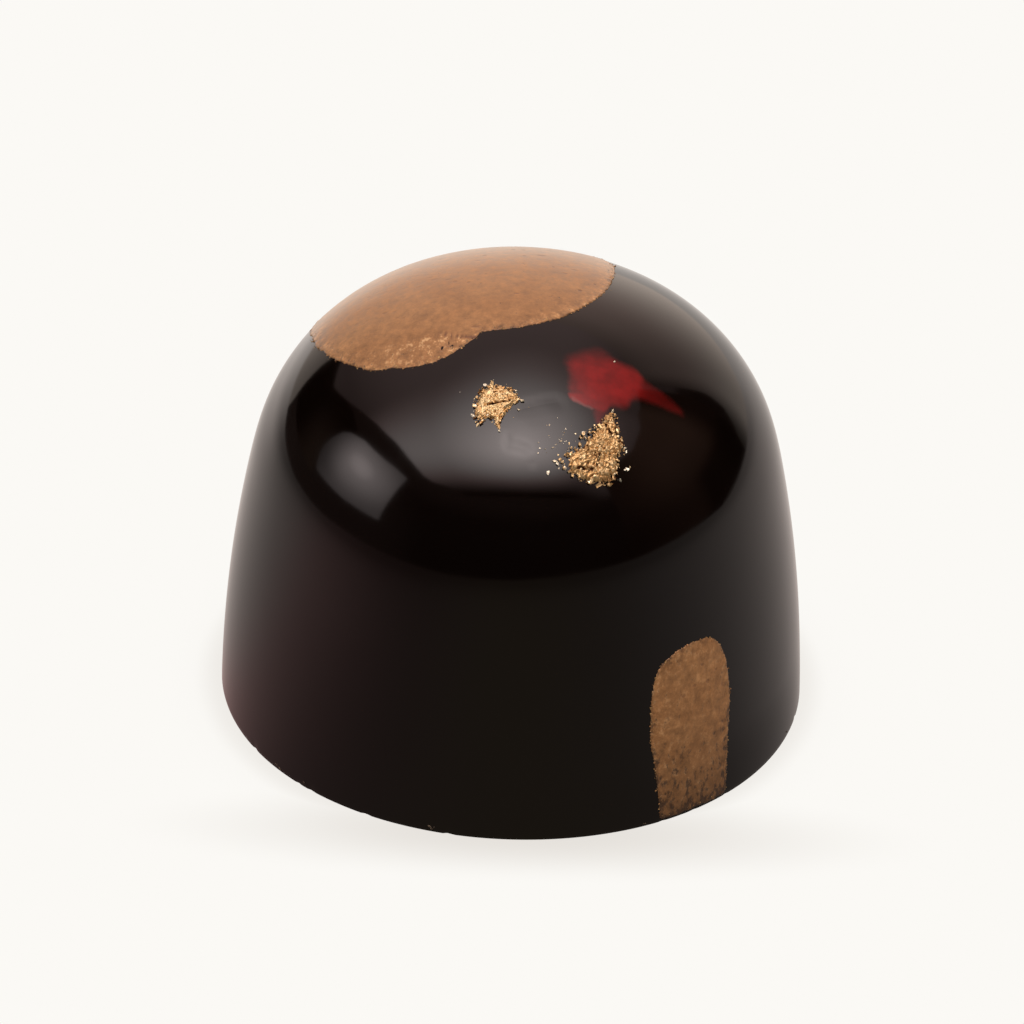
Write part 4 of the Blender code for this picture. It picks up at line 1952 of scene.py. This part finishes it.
    def table(self) -> None:
        """The table as the gloss shows it: dim in front, rosy at the left, bright at the back."""
        bearings = (-180, -150, -140, -125, -105, -85, -60, -20, 0, 25, 60, 75, 95, 115, 180)
        reaches = (350, 350, 300, 190, 150, 165, 220, 240, 320, 500, 530, 450, 220, 330, 350)
        corners = []
        for turn in np.linspace(-180.0, 180.0, 96, endpoint=False):
            reach = float(np.interp(turn, bearings, reaches)) * MM
            angle = math.radians(turn)
            corners.append((math.sin(angle) * reach, -math.cos(angle) * reach, -0.05 * MM))
        table = self.card("reflected_table", corners)
        material, sheet = self.glow("reflected_table")
        bearing, _ = self.angles(sheet)
        around = sheet.math("ABSOLUTE", bearing)
        reach = sheet.vector("LENGTH", sheet.place())
        left = sheet.fade(bearing, 0.0, -60.0)
        rosy = sheet.product(
            left, sheet.fade(around, 122.0, 68.0), sheet.fade(bearing, -112.0, -76.0, 0.35, 1.0),
        )
        colour = sheet.mix(sheet.fade(around, 0.0, 60.0), (1.0, 0.83, 0.62), (1.0, 0.865, 0.80))
        colour = sheet.mix(sheet.fade(around, 120.0, 170.0), colour, (1.0, 0.915, 0.85))
        colour = sheet.mix(rosy, colour, (1.0, 0.63, 0.60))
        gain = sheet.product(
            sheet.fade(bearing, -30.0, -70.0), sheet.fade(bearing, -108.0, -72.0),
            sheet.fade(reach, 17.0 * MM, 45.0 * MM, 0.12, 0.32),
        )
        strength = sheet.fade(around, 25.0, 165.0, 0.18, 0.82)
        strength = sheet.product(strength, sheet.math("ADD", gain, 1.0))
        strength = sheet.math("ADD", strength, sheet.fade(around, 145.0, 180.0, 0.0, 0.1))
        corner = sheet.product(
            sheet.fade(bearing, -112.0, -135.0), sheet.fade(bearing, -180.0, -160.0, 0.3, 1.0),
            sheet.fade(reach, 35.0 * MM, 75.0 * MM),
        )
        strength = sheet.product(strength, sheet.math("MULTIPLY_ADD", corner, 0.5, 1.0))
        fall_left = sheet.fade(reach, 40.0 * MM, 130.0 * MM, 1.0, 0.4)
        fall_right = sheet.fade(reach, 60.0 * MM, 180.0 * MM, 1.0, 0.6)
        fall = sheet.blend(left, fall_right, fall_left)
        fall = sheet.blend(sheet.fade(around, 120.0, 150.0), fall, 1.0)
        self.hang(table, material, colour, sheet.product(strength, fall))

    def backdrop(self) -> None:
        """A curved backdrop behind the praline, brightest in its middle and low down."""
        deselect_all()
        bpy.ops.mesh.primitive_grid_add(x_subdivisions=40, y_subdivisions=24, size=2.0)
        wall = bpy.context.object
        wall.name = "backdrop"
        grid = points_of(wall)
        rise = -5.0 + 52.0 * (grid[:, 1] + 1.0) / 2.0
        rises = (-2.5, -1.5, 1.0, 5.0, 12.0, 20.0, 29.0, 40.0)
        right = np.interp(rise, rises, (98, 112, 119, 123, 126, 127, 126, 125))
        left = np.interp(rise, (0.0, 14.0, 22.0), (226.0, 221.0, 218.5))
        turn = np.radians(right + (left - right) * (grid[:, 0] + 1.0) / 2.0)
        height = np.tan(np.radians(rise)) * self.wall_distance + self.seen_from
        rows = np.stack([np.sin(turn), -np.cos(turn), height / self.wall_distance], axis=1)
        set_points(wall, rows * self.wall_distance)
        material, sheet = self.glow("backdrop")
        bearing, lift = self.angles(sheet)
        around = sheet.math("WRAP", bearing, 360.0, 0.0)
        middle = sheet.fade(around, 134.0, 168.0, 0.0, 0.5)
        strength = sheet.product(
            sheet.math("ADD", sheet.fade(around, 122.0, 134.0, 0.08, 0.58), middle),
            sheet.fade(around, 188.0, 226.0, 1.1, 0.45),
            sheet.fade(lift, 4.0, 36.0, 1.08, 0.78),
            sheet.fade(lift, 36.0, 48.0, 1.0, 0.75),
        )
        colour = sheet.mix(sheet.fade(lift, 4.0, 36.0), (1.0, 0.84, 0.73), (0.97, 0.70, 0.61))
        self.hang(wall, material, colour, strength)

    def overhead_card(self) -> None:
        """The large softbox overhead, hottest a little in front of the middle and dim at its right end."""
        unit = self.card_height / 1.03
        corners = (
            (-0.55, -1.14), (-0.70, -0.96), (-0.87, -0.85), (-0.93, -0.74), (-0.965, -0.5), (-1.0, -0.3),
            (-1.03, -0.18), (-1.15, 0.1), (-1.33, 0.4), (-1.62, 0.8), (-2.04, 1.43), (-1.81, 1.91),
            (-1.85, 2.5), (-1.2, 1.7), (1.4, 1.7), (1.4, -1.14),
        )
        card = self.card("overhead_softbox", [(x * unit, y * unit, self.card_height) for x, y in corners])
        material, sheet = self.glow("overhead_softbox")
        flat = sheet.vector("MULTIPLY", sheet.place(), (1 / unit, 1 / unit, 0.0))
        parts = sheet.add("ShaderNodeSeparateXYZ", {0: flat})
        across, along = parts.outputs["X"], parts.outputs["Y"]
        even = sheet.fade(across, -1.6, -0.25, 0.24, 0.67)
        near = sheet.fade(along, 0.36, -0.38, 0.0, 1.65)
        away = sheet.vector("MULTIPLY", sheet.vector("SUBTRACT", flat, (0.02, -0.37, 0.0)), (1.0, 0.68, 0.0))
        away = sheet.math("DIVIDE", sheet.vector("LENGTH", away), 0.65)
        core = sheet.math("SUBTRACT", 1.0, away, clamp=True)
        core = sheet.product(sheet.math("POWER", core, 1.6), 3.9)
        strength = sheet.product(
            sheet.math("ADD", sheet.math("ADD", even, near), core),
            sheet.fade(along, -1.10, -0.373),
            sheet.fade(across, 1.0, 0.2),
        )
        right_end = sheet.product(
            sheet.fade(across, 0.5, 1.0),
            sheet.fade(along, -1.14, -0.8, 0.08, 0.42),
            sheet.fade(across, 1.3, 1.05, 0.2, 1.0),
            sheet.fade(along, 0.35, 0.05, 0.4, 1.0),
        )
        strength = sheet.math("ADD", strength, right_end)
        colour = sheet.mix(sheet.fade(strength, 0.3, 2.2), (1.0, 0.71, 0.67), (1.0, 0.87, 0.84))
        self.hang(card, material, colour, strength)

    def left_card(self) -> None:
        """The small softbox at the left, hottest in its middle."""
        corners = (
            (-60.0, 8.8), (-57.6, 34.5), (-65.0, 35.3), (-73.7, 35.0), (-82.0, 34.0), (-90.0, 32.7),
            (-94.5, 30.5), (-98.0, 28.5), (-100.5, 25.5), (-102.2, 19.5), (-102.4, 15.0), (-101.5, 11.0),
            (-98.5, 6.0), (-80.0, 7.4),
        )
        card = self.panel("left_softbox", 0.5, corners)
        material, sheet = self.glow("left_softbox")
        bearing, rise = self.angles(sheet)
        across = sheet.math("DIVIDE", sheet.math("ADD", bearing, 80.0), 31.0)
        upwards = sheet.math("DIVIDE", sheet.math("SUBTRACT", rise, 24.5), 17.5)
        away = sheet.math("ADD", sheet.math("POWER", across, 2.0), sheet.math("POWER", upwards, 2.0))
        hot = sheet.fade(sheet.math("SQRT", away), 1.0, 0.0, 0.7, 2.6)
        spot = sheet.math("SUBTRACT", 1.0, sheet.product(away, 12.0), clamp=True)
        strength = sheet.math("MULTIPLY_ADD", spot, 0.8, hot)
        strength = sheet.product(strength, sheet.fade(bearing, -104.0, -85.0, 0.3, 1.0))
        self.hang(card, material, (1.0, 0.86, 0.84), strength)

    def far_left_card(self) -> None:
        """A dim, warm panel further round than the left softbox."""
        corners = (
            (-133.0, 2.0), (-99.8, 3.0), (-99.8, 19.0), (-98.5, 26.0), (-96.0, 32.0), (-108.0, 32.0),
            (-116.0, 28.5), (-125.0, 21.8), (-131.5, 20.8), (-137.0, 20.6), (-138.5, 14.0), (-136.0, 7.0),
        )
        card = self.panel("far_left_panel", 0.52, corners)
        material, sheet = self.glow("far_left_panel")
        bearing, rise = self.angles(sheet)
        strength = sheet.product(sheet.fade(bearing, -124.0, -102.0), sheet.fade(rise, 28.0, 12.0))
        self.hang(card, material, (0.09, 0.06, 0.045), strength)

    def right_card(self) -> None:
        """A dim, brownish panel at the right."""
        corners = (
            (48.0, -2.0), (85.0, -2.0), (121.5, -2.0), (121.5, 50.0), (104.0, 51.5), (92.0, 48.5),
            (76.0, 46.0), (60.0, 46.0), (48.0, 48.0),
        )
        card = self.panel("right_panel", 0.52, corners)
        material, sheet = self.glow("right_panel")
        bearing, rise = self.angles(sheet)
        corner = sheet.product(sheet.fade(bearing, 84.0, 95.0), sheet.fade(rise, 19.0, 12.0))
        strength = sheet.product(
            sheet.fade(bearing, 47.0, 84.0, 0.28, 1.0),
            sheet.fade(rise, 6.0, 34.0, 0.28, 1.0),
            sheet.fade(bearing, 103.0, 117.0, 1.0, 0.15),
            sheet.math("MULTIPLY_ADD", corner, -0.8, 1.0),
        )
        self.hang(card, material, (0.22, 0.12, 0.085), strength)

    def world(self) -> None:
        """A soft pale sky over dim ground, a dark room for the gloss, and plain paper for the camera."""
        world = bpy.data.worlds.new("studio")
        world.use_nodes = True
        world.node_tree.nodes.clear()
        sheet = NodeSheet(world.node_tree)
        view = sheet.add("ShaderNodeTexCoord").outputs["Generated"]
        upwards = sheet.coordinate(view, "Z")
        strength = sheet.fade(upwards, -0.12, 0.12, self.ground, self.sky)
        sky = sheet.add("ShaderNodeBackground", {"Color": (1.0, 0.985, 0.96), "Strength": strength})
        across = sheet.coordinate(view, "X")
        high = sheet.math("MAXIMUM", sheet.fade(upwards, 0.42, 0.62), sheet.fade(across, -0.6, -0.9))
        glow = sheet.math("MULTIPLY_ADD", high, 0.75, 0.25)
        room = sheet.add("ShaderNodeBackground", {"Color": self.room, "Strength": glow})
        paper = sheet.add("ShaderNodeBackground", {"Color": self.paper})
        ray = sheet.add("ShaderNodeLightPath")
        both = sky
        for rays, seen in (("Is Glossy Ray", room), ("Is Camera Ray", paper)):
            parts = {0: ray.outputs[rays], 1: both.outputs[0], 2: seen.outputs[0]}
            both = sheet.add("ShaderNodeMixShader", parts)
        sheet.add("ShaderNodeOutputWorld", {"Surface": both.outputs[0]})
        bpy.context.scene.world = world

    def key_light(self) -> None:
        """A soft light from above and a little behind."""
        data = bpy.data.lights.new("key", "AREA")
        data.shape = "DISK"
        data.size = 0.34
        data.energy = self.key_power
        data.color = (1.0, 0.97, 0.93)
        lamp = bpy.data.objects.new("key", data)
        lamp.location = (-0.08, 0.10, 0.6)
        lamp.rotation_euler = (Vector((0, 0, 0)) - lamp.location).to_track_quat("-Z", "Y").to_euler()
        lamp.visible_glossy = False
        bpy.context.scene.collection.objects.link(lamp)

    def camera(self) -> None:
        """The camera of the photograph."""
        data = bpy.data.cameras.new("camera")
        data.lens = self.lens
        data.sensor_width = self.sensor
        data.clip_start = 0.01
        camera = bpy.data.objects.new("camera", data)
        back = Vector((0.0, -math.cos(self.camera_height), math.sin(self.camera_height)))
        camera.location = Vector(self.aim) + back * self.camera_distance
        look = (-back).to_track_quat("-Z", "Y").to_matrix()
        camera.rotation_euler = (look @ Matrix.Rotation(self.camera_roll, 3, "Z")).to_euler()
        bpy.context.scene.collection.objects.link(camera)
        bpy.context.scene.camera = camera
        bpy.context.scene.view_settings.view_transform = "Standard"
        bpy.context.scene.view_settings.look = "None"


# The decoration as it lies on this praline

CROWN_FILM = CrownFilm(
    name="bronze_crown",
    side=Side.CROWN,
    outline=in_mm(
        (-9.85, 1.6), (-9.78, 0.97), (-9.63, 0.14), (-9.37, -0.59), (-9.06, -1.28), (-8.76, -1.85),
        (-8.4, -2.45), (-7.9, -3.05), (-7.0, -3.95), (-5.8, -4.4), (-4.55, -4.68), (-3.65, -4.57),
        (-2.85, -4.1), (-2.1, -3.5), (-1.8, -3.16), (-1.05, -3.06), (0.0, -2.9), (0.85, -2.57),
        (1.8, -2.0), (2.51, -1.35), (2.98, -0.8), (3.44, -0.0), (3.82, 0.86), (4.1, 1.68), (4.29, 2.66),
        (4.37, 3.8), (4.36, 5.0), (4.15, 6.2), (2.9, 8.2), (-0.6, 10.2), (-4.9, 9.9), (-8.7, 6.9),
        (-9.6, 4.9), (-10.0, 3.4), (-9.98, 2.4),
    ),
    heart=(-3.0 * MM, 2.2 * MM),
    seed=5,
)

STRIPE_BEARING = -51.5
STRIPE = WallFilm(
    name="bronze_stripe",
    side=Side.WALL,
    outline=tuple(
        (14.0 * MM * math.sin(math.radians(bearing - STRIPE_BEARING)), height * MM)
        for bearing, height in (
            (-58.0, 0.12), (-59.2, 0.13), (-59.7, 0.40), (-59.8, 1.2), (-60.4, 2.8), (-61.0, 3.8),
            (-61.35, 5.0), (-61.1, 6.6), (-60.5, 7.3), (-59.5, 8.0), (-57.9, 8.35), (-55.9, 8.58),
            (-53.5, 8.79), (-50.9, 8.88), (-48.4, 8.86), (-46.3, 8.74), (-44.6, 8.47), (-43.2, 8.05),
            (-42.2, 7.5), (-41.5, 6.6), (-41.1, 5.5), (-41.5, 4.2), (-42.2, 2.7), (-42.9, 1.5),
            (-43.4, 0.40), (-43.9, 0.13), (-45.1, 0.12), (-47.0, 0.12), (-51.0, 0.12), (-55.0, 0.12),
        )
    ),
    heart=(0.1 * MM, 4.6 * MM),
    seed=9,
    bearing=STRIPE_BEARING,
    reach=2.9 * MM,
    inner_step=0.12 * MM,
    spacing=0.05 * MM,
    inner_grain=0.008 * MM,
)

GOLD_LEFT = GoldPinch(
    name="gold_pinch_left",
    body=GoldBody(
        name="gold_body_left",
        side=Side.CROWN,
        outline=in_mm(
            (-1.55, -6.48), (-1.88, -6.98), (-2.0, -7.45), (-1.82, -7.95), (-1.45, -7.9), (-1.12, -8.0),
            (-0.95, -8.4), (-0.82, -8.4), (-0.78, -7.97), (-0.45, -7.5), (-0.05, -7.12), (-0.15, -6.75),
            (-0.75, -6.5),
        ),
        heart=(-1.05 * MM, -7.2 * MM),
        seed=21,
        spacing=0.03 * MM,
        reach=0.95 * MM,
        inner_step=0.03 * MM,
        thickness=0.07 * MM,
        rounding=0.12 * MM,
        ragged=0.10 * MM,
        creases=(in_mm((-1.45, -7.33), (-1.05, -7.26), (-0.72, -7.22), (-0.42, -7.16)),),
    ),
    outline=in_mm(
        (-1.63, -6.34), (-2.02, -6.95), (-2.1, -7.5), (-1.85, -8.15), (-1.39, -7.94), (-0.97, -8.25),
        (-0.82, -8.5), (-0.75, -7.97), (-0.35, -7.37), (0.1, -7.1), (-0.09, -6.63), (-0.79, -6.38),
    ),
    scraps=30,
    crumbs=150,
    fine=220,
    seed=21,
    crumb_size=(0.042 * MM, 0.085 * MM),
    fine_size=(0.018 * MM, 0.036 * MM),
    scrap_size=(0.07 * MM, 0.13 * MM),
    heap=0.12 * MM,
    nodules=in_mm(
        (-1.58, -6.34), (-0.14, -6.63), (0.15, -7.12), (0.02, -7.55), (-1.85, -8.17), (-2.01, -7.34),
        (-2.09, -7.75), (-0.87, -8.48), (-1.54, -7.71), (-1.45, -7.78), (-1.60, -7.62),
    ),
    dust=26,
    dust_centre=(-1.0 * MM, -7.2 * MM),
    dust_reach=1.5 * MM,
)

GOLD_RIGHT = GoldPinch(
    name="gold_pinch_right",
    body=GoldBody(
        name="gold_body_right",
        side=Side.CROWN,
        outline=in_mm(
            (4.1, -7.12), (4.45, -7.2), (4.58, -7.8), (4.82, -8.3), (4.6, -8.75), (4.55, -9.2), (4.25, -9.55),
            (3.7, -9.8), (2.95, -9.85), (2.4, -9.62), (2.4, -9.25), (2.95, -8.8), (3.35, -8.3), (3.75, -7.75),
        ),
        heart=(3.85 * MM, -8.75 * MM),
        seed=34,
        spacing=0.034 * MM,
        reach=1.15 * MM,
        inner_step=0.034 * MM,
        thickness=0.05 * MM,
        rounding=0.12 * MM,
        ragged=0.12 * MM,
        folds=((0.26 * MM, 0.055 * MM), (0.14 * MM, 0.070 * MM), (0.08 * MM, 0.045 * MM)),
        # painted shade: the dark bed between the grains
        shade=-0.08,
        creases=(
            in_mm((4.01, -7.60), (4.20, -7.80), (4.35, -8.00)),
            in_mm((2.81, -9.55), (3.14, -9.50), (3.46, -9.45)),
            in_mm((3.81, -8.80), (3.68, -9.18)),
        ),
    ),
    outline=in_mm(
        (4.23, -6.99), (4.56, -7.07), (4.67, -7.77), (5.02, -8.3), (4.75, -8.75), (4.7, -9.2), (4.4, -9.65),
        (3.76, -9.9), (2.92, -9.95), (2.22, -9.76), (1.85, -9.5), (2.28, -8.97), (3.0, -8.24), (3.64, -7.66),
    ),
    scraps=40,
    crumbs=235,
    fine=330,
    seed=33,
    crumb_size=(0.048 * MM, 0.105 * MM),
    fine_size=(0.020 * MM, 0.042 * MM),
    scrap_size=(0.07 * MM, 0.13 * MM),
    heap=0.13 * MM,
    nodules=in_mm(
        (1.44, -9.93), (1.74, -9.49), (1.84, -9.55), (2.21, -9.66), (3.00, -8.20), (4.32, -6.91),
        (4.96, -8.23), (5.02, -8.34), (5.08, -8.94), (4.98, -8.99), (4.48, -9.30), (4.77, -9.41),
        (3.3, -9.9),
    ),
    strays=in_mm(
        (0.95, -9.29), (1.27, -9.11), (2.0, -8.71), (1.64, -9.0), (4.4, -4.17), (5.22, -8.82), (1.04, -9.1),
    ),
    dust=44,
    dust_centre=(2.2 * MM, -8.75 * MM),
    dust_reach=1.15 * MM,
    bare=0.85,
    bare_centre=(2.45 * MM, -8.6 * MM),
    bare_reach=0.85 * MM,
)


def main() -> None:
    """Builds the praline on its frame, and the studio round it."""
    logging.basicConfig(level=logging.INFO, format="%(name)s: %(message)s")
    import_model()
    effects = Effects()
    shape = DomeShape()
    Shell(shape).build(ChocolateFinish(), effects)
    CROWN_FILM.build(shape, LustreFinish("bronze_lustre_crown").material(effects))
    stripe_finish = LustreFinish(
        "bronze_lustre_stripe", cloud=1.2 * MM, even_pits=True, coat=0.12, painted_sheen=0.1, stretch=0.5,
        streak=0.19 * MM, wear=0.20, painted_base_shade=0.5, contrast=1.7, rim_contrast=1.0, pit_depth=0.35,
        gap_fade=(0.62, 0.82),
    )
    STRIPE.build(shape, stripe_finish.material(effects))
    grains = {kind: [model_grain(kind, seed) for seed in range(1, 9)] for kind in GrainKind}
    lustre_finish = GoldFinish(
        "lustre_grains", painted_glint=(0.85, 0.56, 0.30), pale=(0.36, 0.16, 0.07), gloss=0.35, metal=0.4,
    )
    lustre = lustre_finish.material()
    RimCrumbs("crown_rim_grains", CROWN_FILM, 800, 14).build(shape, grains, lustre)
    RimCrumbs("stripe_rim_grains", STRIPE, 420, 15).build(shape, grains, lustre)
    gold = GoldFinish().material()
    GOLD_LEFT.build(shape, grains, gold)
    GOLD_RIGHT.build(shape, grains, gold)
    BaseCrumbs().build(shape, grains, CrumbFinish().material())
    Studio().build()


if __name__ == "__main__":
    main()
